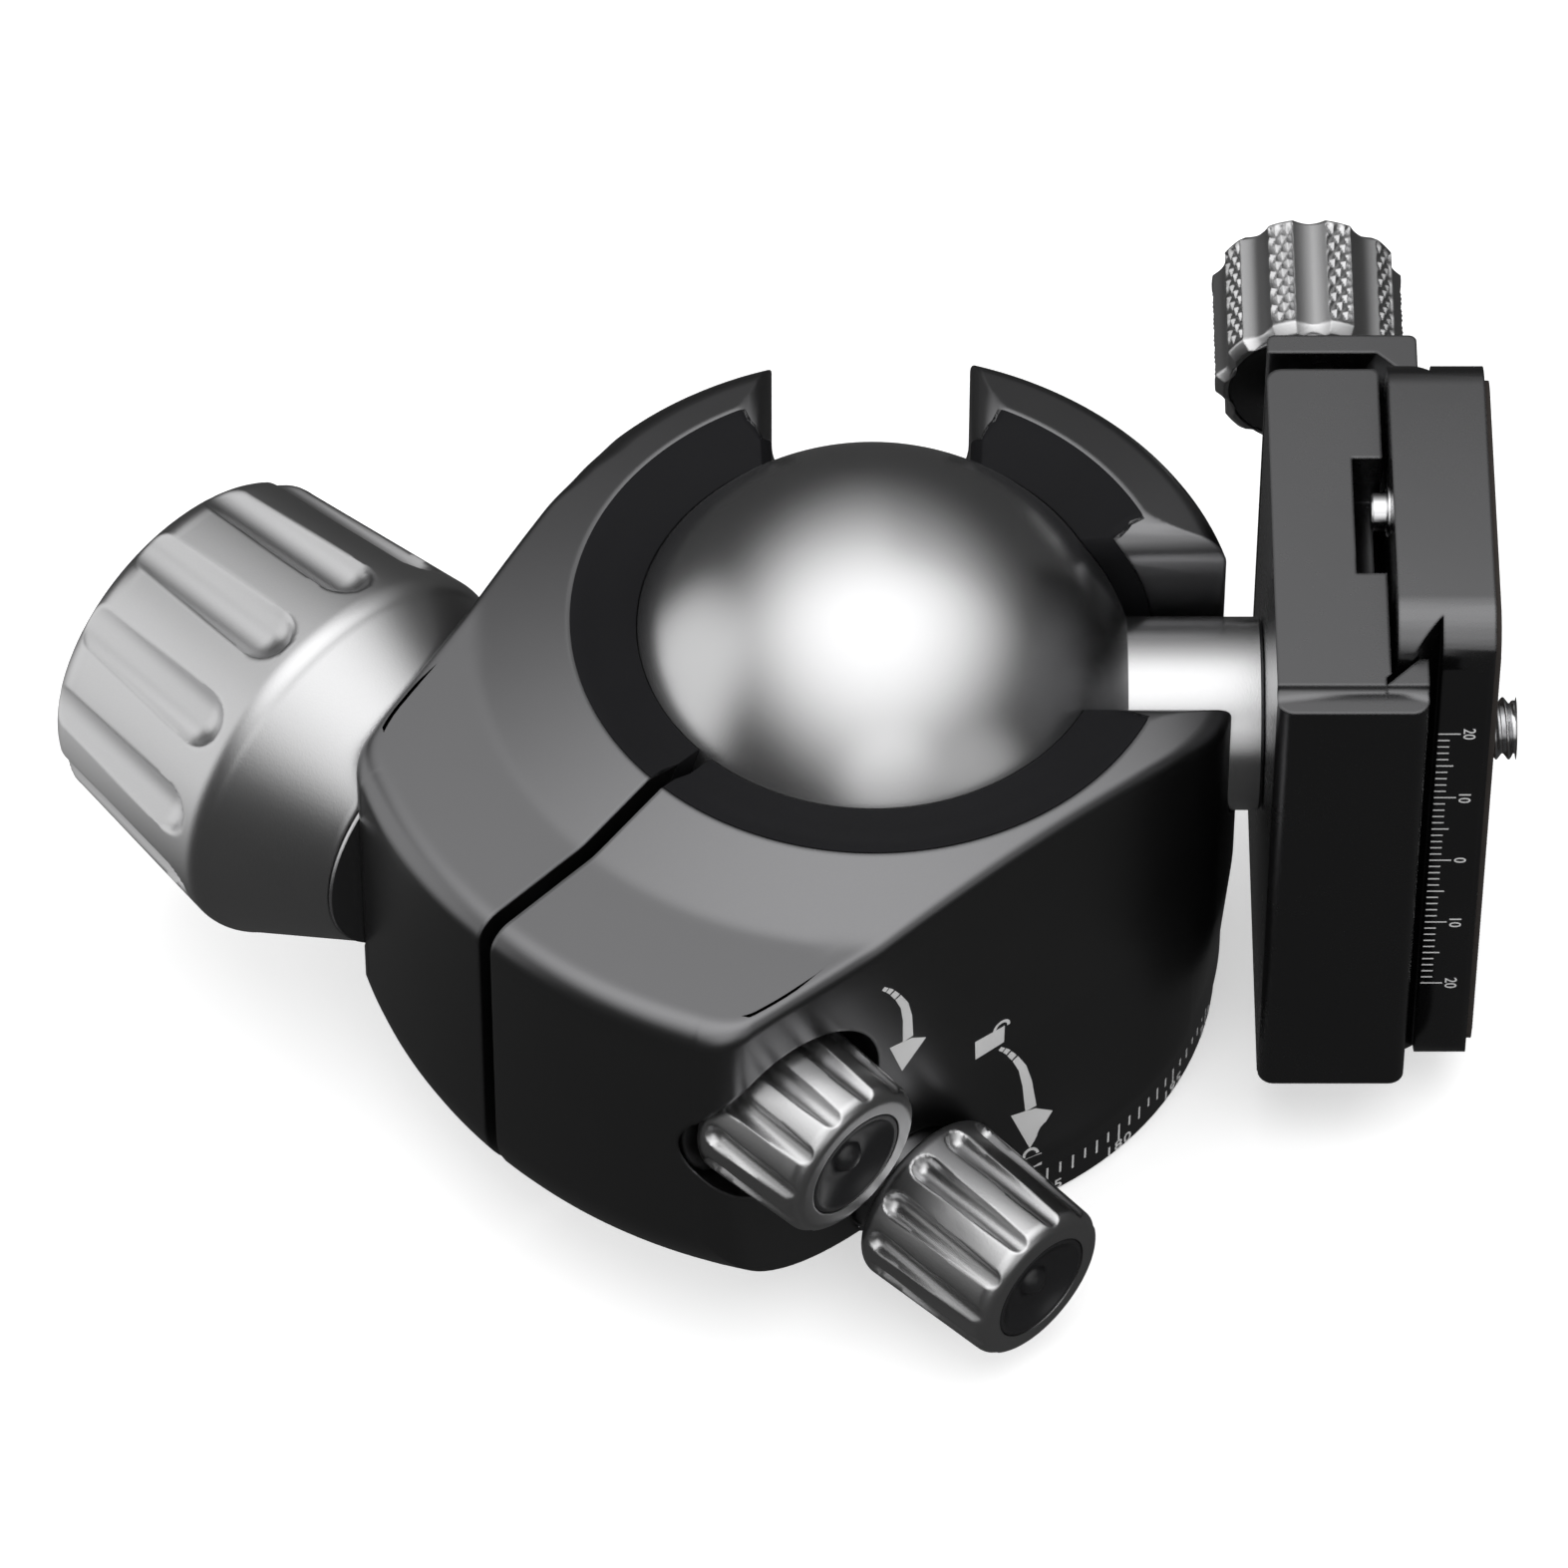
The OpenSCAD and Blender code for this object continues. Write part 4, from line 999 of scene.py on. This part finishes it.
class BALLHEAD_OT_marks(bpy.types.Operator):
    """Print the scales, arrows and padlocks"""
    bl_idname = "ball_head.marks"
    bl_label = "Printed marks"

    def execute(self, context):
        self.plate_scale()
        self.base_scale()
        self.lock_marks()
        return {"FINISHED"}

    def plate_scale(self):
        face = AT_BALL @ Matrix(((0, 1, 0, 0), (0, 0, -1, -19.0), (-1, 0, 0, 0),
                                 (0, 0, 0, 1)))
        bm = bmesh.new()
        for i in range(-20, 21):
            long = 2.2 if i % 10 == 0 else 1.7 if i % 5 == 0 else 1.15
            slab(bm, (-i, 55.75 + long / 2, 0), (0.16, long, 0.05), face)
        parts = [bm]
        for i in (-20, -10, 0, 10, 20):
            parts.append(lettering(str(abs(i)), 1.75, face @ shift(-i, 58.75, 0)))
        finished("plate_scale", joined(*parts), finish("Printing"), "plate")

    def base_scale(self):
        bm, parts = bmesh.new(), []
        disc_r, ticks_top, zero_at = 35.9, 4.8, 135
        for i in range(144):
            bearing = i * 2.5
            degrees = round((bearing - zero_at) % 360, 1)
            labelled = degrees % 15 == 0
            high = 2.75 if labelled else 2.2 if i % 2 == 0 else 1.7
            slab(bm, (0, ticks_top - high / 2, 0), (0.22, high, 0.06),
                 facing(bearing, disc_r))
            if labelled:
                figures = str(int(degrees))
                for k, letter in enumerate(figures):
                    lean = (k - (len(figures) - 1) / 2) * 2.15
                    parts.append(lettering(letter, 2.1,
                                           facing(bearing + lean, disc_r, 1.15), 1.15))
        finished("base_scale", joined(bm, *parts), finish("Printing"), "base")

    def lock_marks(self):
        face = AT_BALL @ facing(FRONT_DIR, FRONT_OFF)
        parts = [self.arrow(face, dx, dy) for dx, dy in ((-21.0, 6.5), (-5.9, -15.2))]
        open_lock = [(-12.25, -11.6), (-12.15, -14.5), (-8.5, -14.5), (-8.45, -11.9)]
        shut_lock = [(-7.6, -31.6), (-7.6, -33.4), (-5.4, -33.4), (-5.4, -31.6)]
        parts.append(patch(open_lock, face))
        parts.append(self.shackle(face, (-8.85, -11.9), 1.1, 200, -10))
        parts.append(patch(shut_lock, face))
        parts.append(self.shackle(face, (-6.5, -31.4), 0.9, 180, 0))
        finished("lock_marks", laid_on_wall(joined(*parts)), finish("Printing"), "housing")

    def arrow(self, face, x, y):
        """A curved arrow: three dashes, a shaft that widens and a head."""
        spine = [(-3.1, 0.0), (-2.2, -1.1), (-1.2, -2.9), (-0.4, -4.8), (0.0, -7.2),
                 (0.1, -10.6)]
        wide = [0.45, 0.6, 0.75, 0.95, 1.15, 1.3]
        pieces = []
        for t0, t1 in ((0, 0.5), (0.65, 1.15), (1.3, 1.85), (2.0, 5.0)):
            steps = [t0 + (t1 - t0) * i / 6 for i in range(7)]
            left, right = [], []
            for t in steps:
                i = min(4, int(t))
                f = t - i
                px = mix(spine[i][0], spine[i + 1][0], f)
                py = mix(spine[i][1], spine[i + 1][1], f)
                dx, dy = spine[i + 1][0] - spine[i][0], spine[i + 1][1] - spine[i][1]
                n = math.hypot(dx, dy)
                w = mix(wide[i], wide[i + 1], f) / 2
                left.append((x + px - dy / n * w, y + py + dx / n * w))
                right.append((x + px + dy / n * w, y + py - dx / n * w))
            pieces.append(patch(left + right[::-1], face))
        head = [(x - 2.2, y - 10.3), (x - 0.55, y - 10.6), (x + 0.65, y - 10.9),
                (x + 2.4, y - 12.2), (x - 0.6, y - 15.3)]
        pieces.append(patch(head, face))
        return joined(*pieces)

    def shackle(self, face, at, r, a0, a1):
        ring = arc(at[0], at[1], r, a0, a1, 12)
        inner = arc(at[0], at[1], r * 0.66, a1, a0, 12)
        return patch(ring + inner, face)


# ---------------------------------------------------------------- what stays of the CAD

KEPT = {
    "Black Anodised": ("pan_base", "lower_cup", "friction_collar", "pan_neck"),
    "Turned Steel": ("tripod_bushing", "retaining_ring", "seat_spring", "tension_nut",
                     "clamp_bolt", "friction_screw", "pan_screw", "jaw_screw",
                     "screw_washer"),
    "Bright Plated": ("pan_washer", "retainer_screws", "thrust_washer", "clamp_screw",
                      "jaw_guide_pins", "jaw_clip", "jaw_washer"),
    "Turned Brass": ("bolt_bush", "brake_shoe"),
    "Friction Polymer": ("ball_seat",),
    "Glide Acetal": ("glide_ring",),
}


class BALLHEAD_OT_kept_parts(bpy.types.Operator):
    """Give the carried-over CAD pieces their finishes"""
    bl_idname = "ball_head.kept_parts"
    bl_label = "Kept pieces"

    def execute(self, context):
        for name in ("pan_base", "friction_collar", "pan_neck"):
            smoothed(name, finish("Black Anodised"))
        for material, names in KEPT.items():
            for name in names:
                mesh = frame["nodes"][name].data
                mesh.materials.clear()
                mesh.materials.append(finish(material))
        return {"FINISHED"}


# ---------------------------------------------------------------- stage

def lobe(board, direction, towards, start, end, strength):
    """A soft bright patch of the tent in one direction."""
    dot = board.node("ShaderNodeVectorMath", {"operation": "DOT_PRODUCT"},
                     {0: direction, 1: tuple(Vector(towards).normalized())})
    return board.step(Value(board, dot.outputs["Value"]), start, end) * strength


def tent_material():
    """The studio round the object, as its metal sees it: bright above, dark below."""
    material, board = new_board("Studio Tent")
    place = board.place()
    unit = board.node("ShaderNodeVectorMath", {"operation": "NORMALIZE"}, {0: place})
    direction = unit.outputs[0]
    split = board.node("ShaderNodeSeparateXYZ", None, {0: direction})
    up = board.maths("MAXIMUM", Value(board, split.outputs["Z"]), 0.05)
    side = Value(board, split.outputs["X"]) / up
    depth = Value(board, split.outputs["Y"]) / up
    reach = depth / (board.maths("SIGN", depth) * -0.22 + 0.98)
    overhead = (board.maths("EXPONENT", side * side * (-1 / 1.21))
                * board.maths("DIVIDE", 1.0, reach * reach + 1.0))
    behind = board.step(side, 0.05, 0.2) * board.step(depth, 0.35, 0.7)
    light = overhead * 1.75 * (1.0 - behind * 0.3) + 0.05
    light = light + lobe(board, direction, (-1, 0.1, 0.15), 0.8, 0.97, 0.9)
    light = light + lobe(board, direction, (0.15, -1, 0.42), 0.9, 0.985, 0.5)
    light = light + lobe(board, direction, (0.75, -0.75, 0.25), 0.93, 0.99, 0.5)
    shade = board.node("ShaderNodeEmission", None, {"Strength": light})
    board.node("ShaderNodeOutputMaterial", None, {"Surface": shade.outputs[0]})
    return material


def pale_ground(name):
    """White where the camera or a reflection sees it, with the shadow kept."""
    material, board = new_board(name)
    path = board.node("ShaderNodeLightPath")
    seen = board.maths("ADD", path.outputs["Is Camera Ray"], path.outputs["Is Glossy Ray"],
                       clamp=True)
    seen = board.maths("ADD", seen, path.outputs["Is Transmission Ray"], clamp=True)
    glow = board.node("ShaderNodeEmission", None,
                      {"Color": (1, 1, 1), "Strength": seen * 0.5})
    matt = board.node("ShaderNodeBsdfDiffuse", None, {"Color": (0.8, 0.8, 0.8)})
    both = board.node("ShaderNodeAddShader", None, {0: glow.outputs[0], 1: matt.outputs[0]})
    board.node("ShaderNodeOutputMaterial", None, {"Surface": both.outputs[0]})
    return material


class BALLHEAD_OT_stage(bpy.types.Operator):
    """Set up the floor, the soft studio light and the camera"""
    bl_idname = "ball_head.stage"
    bl_label = "Stage"

    def execute(self, context):
        scene = context.scene
        scene.view_settings.view_transform = "Standard"
        self.floor()
        self.tent()
        self.world(scene)
        for name, at, size, power in (("over", (0.1, -0.1, 1.3), 1.4, 9.0),
                                      ("left", (-1.2, -0.3, 0.7), 0.9, 4.0),
                                      ("front", (0.5, -1.3, 0.8), 0.9, 3.0)):
            lamp = bpy.data.lights.new(name, "AREA")
            lamp.shape, lamp.size, lamp.energy = "DISK", size, power
            obj = bpy.data.objects.new(name, lamp)
            obj.location = at
            aim = Vector((0, 0, 0.04)) - Vector(at)
            obj.rotation_euler = aim.to_track_quat("-Z", "Y").to_euler()
            obj.visible_glossy = False
            scene.collection.objects.link(obj)
        camera = bpy.data.cameras.new("camera")
        camera.lens, camera.sensor_width = 254.44, 36.0
        camera.clip_start, camera.clip_end = 0.05, 20
        eye = bpy.data.objects.new("camera", camera)
        eye.location = (-0.0089, -0.7104, 0.9087)
        eye.rotation_euler = (math.radians(38.91), 0, 0)
        scene.collection.objects.link(eye)
        scene.camera = eye
        return {"FINISHED"}

    def floor(self):
        bm = bmesh.new()
        bmesh.ops.create_grid(bm, x_segments=4, y_segments=4, size=6.0)
        floor = loose_object(bm, "floor")
        floor.data.materials.append(pale_ground("Pale Floor"))

    def tent(self):
        """Cards that only reflections see."""
        dome = bmesh.new()
        bmesh.ops.create_uvsphere(dome, u_segments=48, v_segments=24, radius=0.6)
        mat = bmesh.new()
        bmesh.ops.create_circle(mat, cap_ends=True, segments=64, radius=0.6,
                                matrix=shift(0, 0, 0.0002 - 0.04))
        cards = loose_object(joined(dome, mat), "reflection_tent")
        cards.location = (0, 0, 0.04)
        cards.data.materials.append(tent_material())
        for ray in ("camera", "diffuse", "transmission", "volume_scatter", "shadow"):
            setattr(cards, "visible_" + ray, False)

    def world(self, scene):
        world = bpy.data.worlds.new("studio")
        scene.world = world
        world.use_nodes = True
        board = Board(world.node_tree)
        path = board.node("ShaderNodeLightPath")
        seen = board.maths("ADD", path.outputs["Is Camera Ray"],
                           path.outputs["Is Glossy Ray"], clamp=True)
        seen = board.maths("ADD", seen, path.outputs["Is Transmission Ray"], clamp=True)
        back = board.node("ShaderNodeBackground", None,
                          {"Color": (1, 1, 1), "Strength": seen * 0.4 + 0.6})
        board.node("ShaderNodeOutputWorld", None, {"Surface": back.outputs[0]})


OPERATORS = (BALLHEAD_OT_stage, BALLHEAD_OT_housing, BALLHEAD_OT_liner, BALLHEAD_OT_ball,
             BALLHEAD_OT_main_knob, BALLHEAD_OT_small_knobs, BALLHEAD_OT_clamp_knob,
             BALLHEAD_OT_clamp, BALLHEAD_OT_plate, BALLHEAD_OT_marks,
             BALLHEAD_OT_kept_parts)


class BALLHEAD_PT_panel(bpy.types.Panel):
    """The ball head's pieces and finishes"""
    bl_label = "Ball head"
    bl_idname = "BALLHEAD_PT_panel"
    bl_space_type = "VIEW_3D"
    bl_region_type = "UI"
    bl_category = "Ball head"

    def draw(self, context):
        for group in (context.scene.ball_head_sizes, context.scene.ball_head_finishes):
            box = self.layout.box()
            for name in group.__annotations__:
                box.prop(group, name)
        for operator in OPERATORS:
            self.layout.operator(operator.bl_idname)


CLASSES = (BallHeadSizes, BallHeadFinishes) + OPERATORS + (BALLHEAD_PT_panel,)


def register():
    for cls in CLASSES:
        bpy.utils.register_class(cls)
    bpy.types.Scene.ball_head_sizes = bpy.props.PointerProperty(type=BallHeadSizes)
    bpy.types.Scene.ball_head_finishes = bpy.props.PointerProperty(type=BallHeadFinishes)


def unregister():
    del bpy.types.Scene.ball_head_finishes
    del bpy.types.Scene.ball_head_sizes
    for cls in reversed(CLASSES):
        bpy.utils.unregister_class(cls)


def main():
    register()
    for operator in OPERATORS:
        getattr(bpy.ops.ball_head, operator.bl_idname.split(".")[1])()


if __name__ == "__main__":
    main()
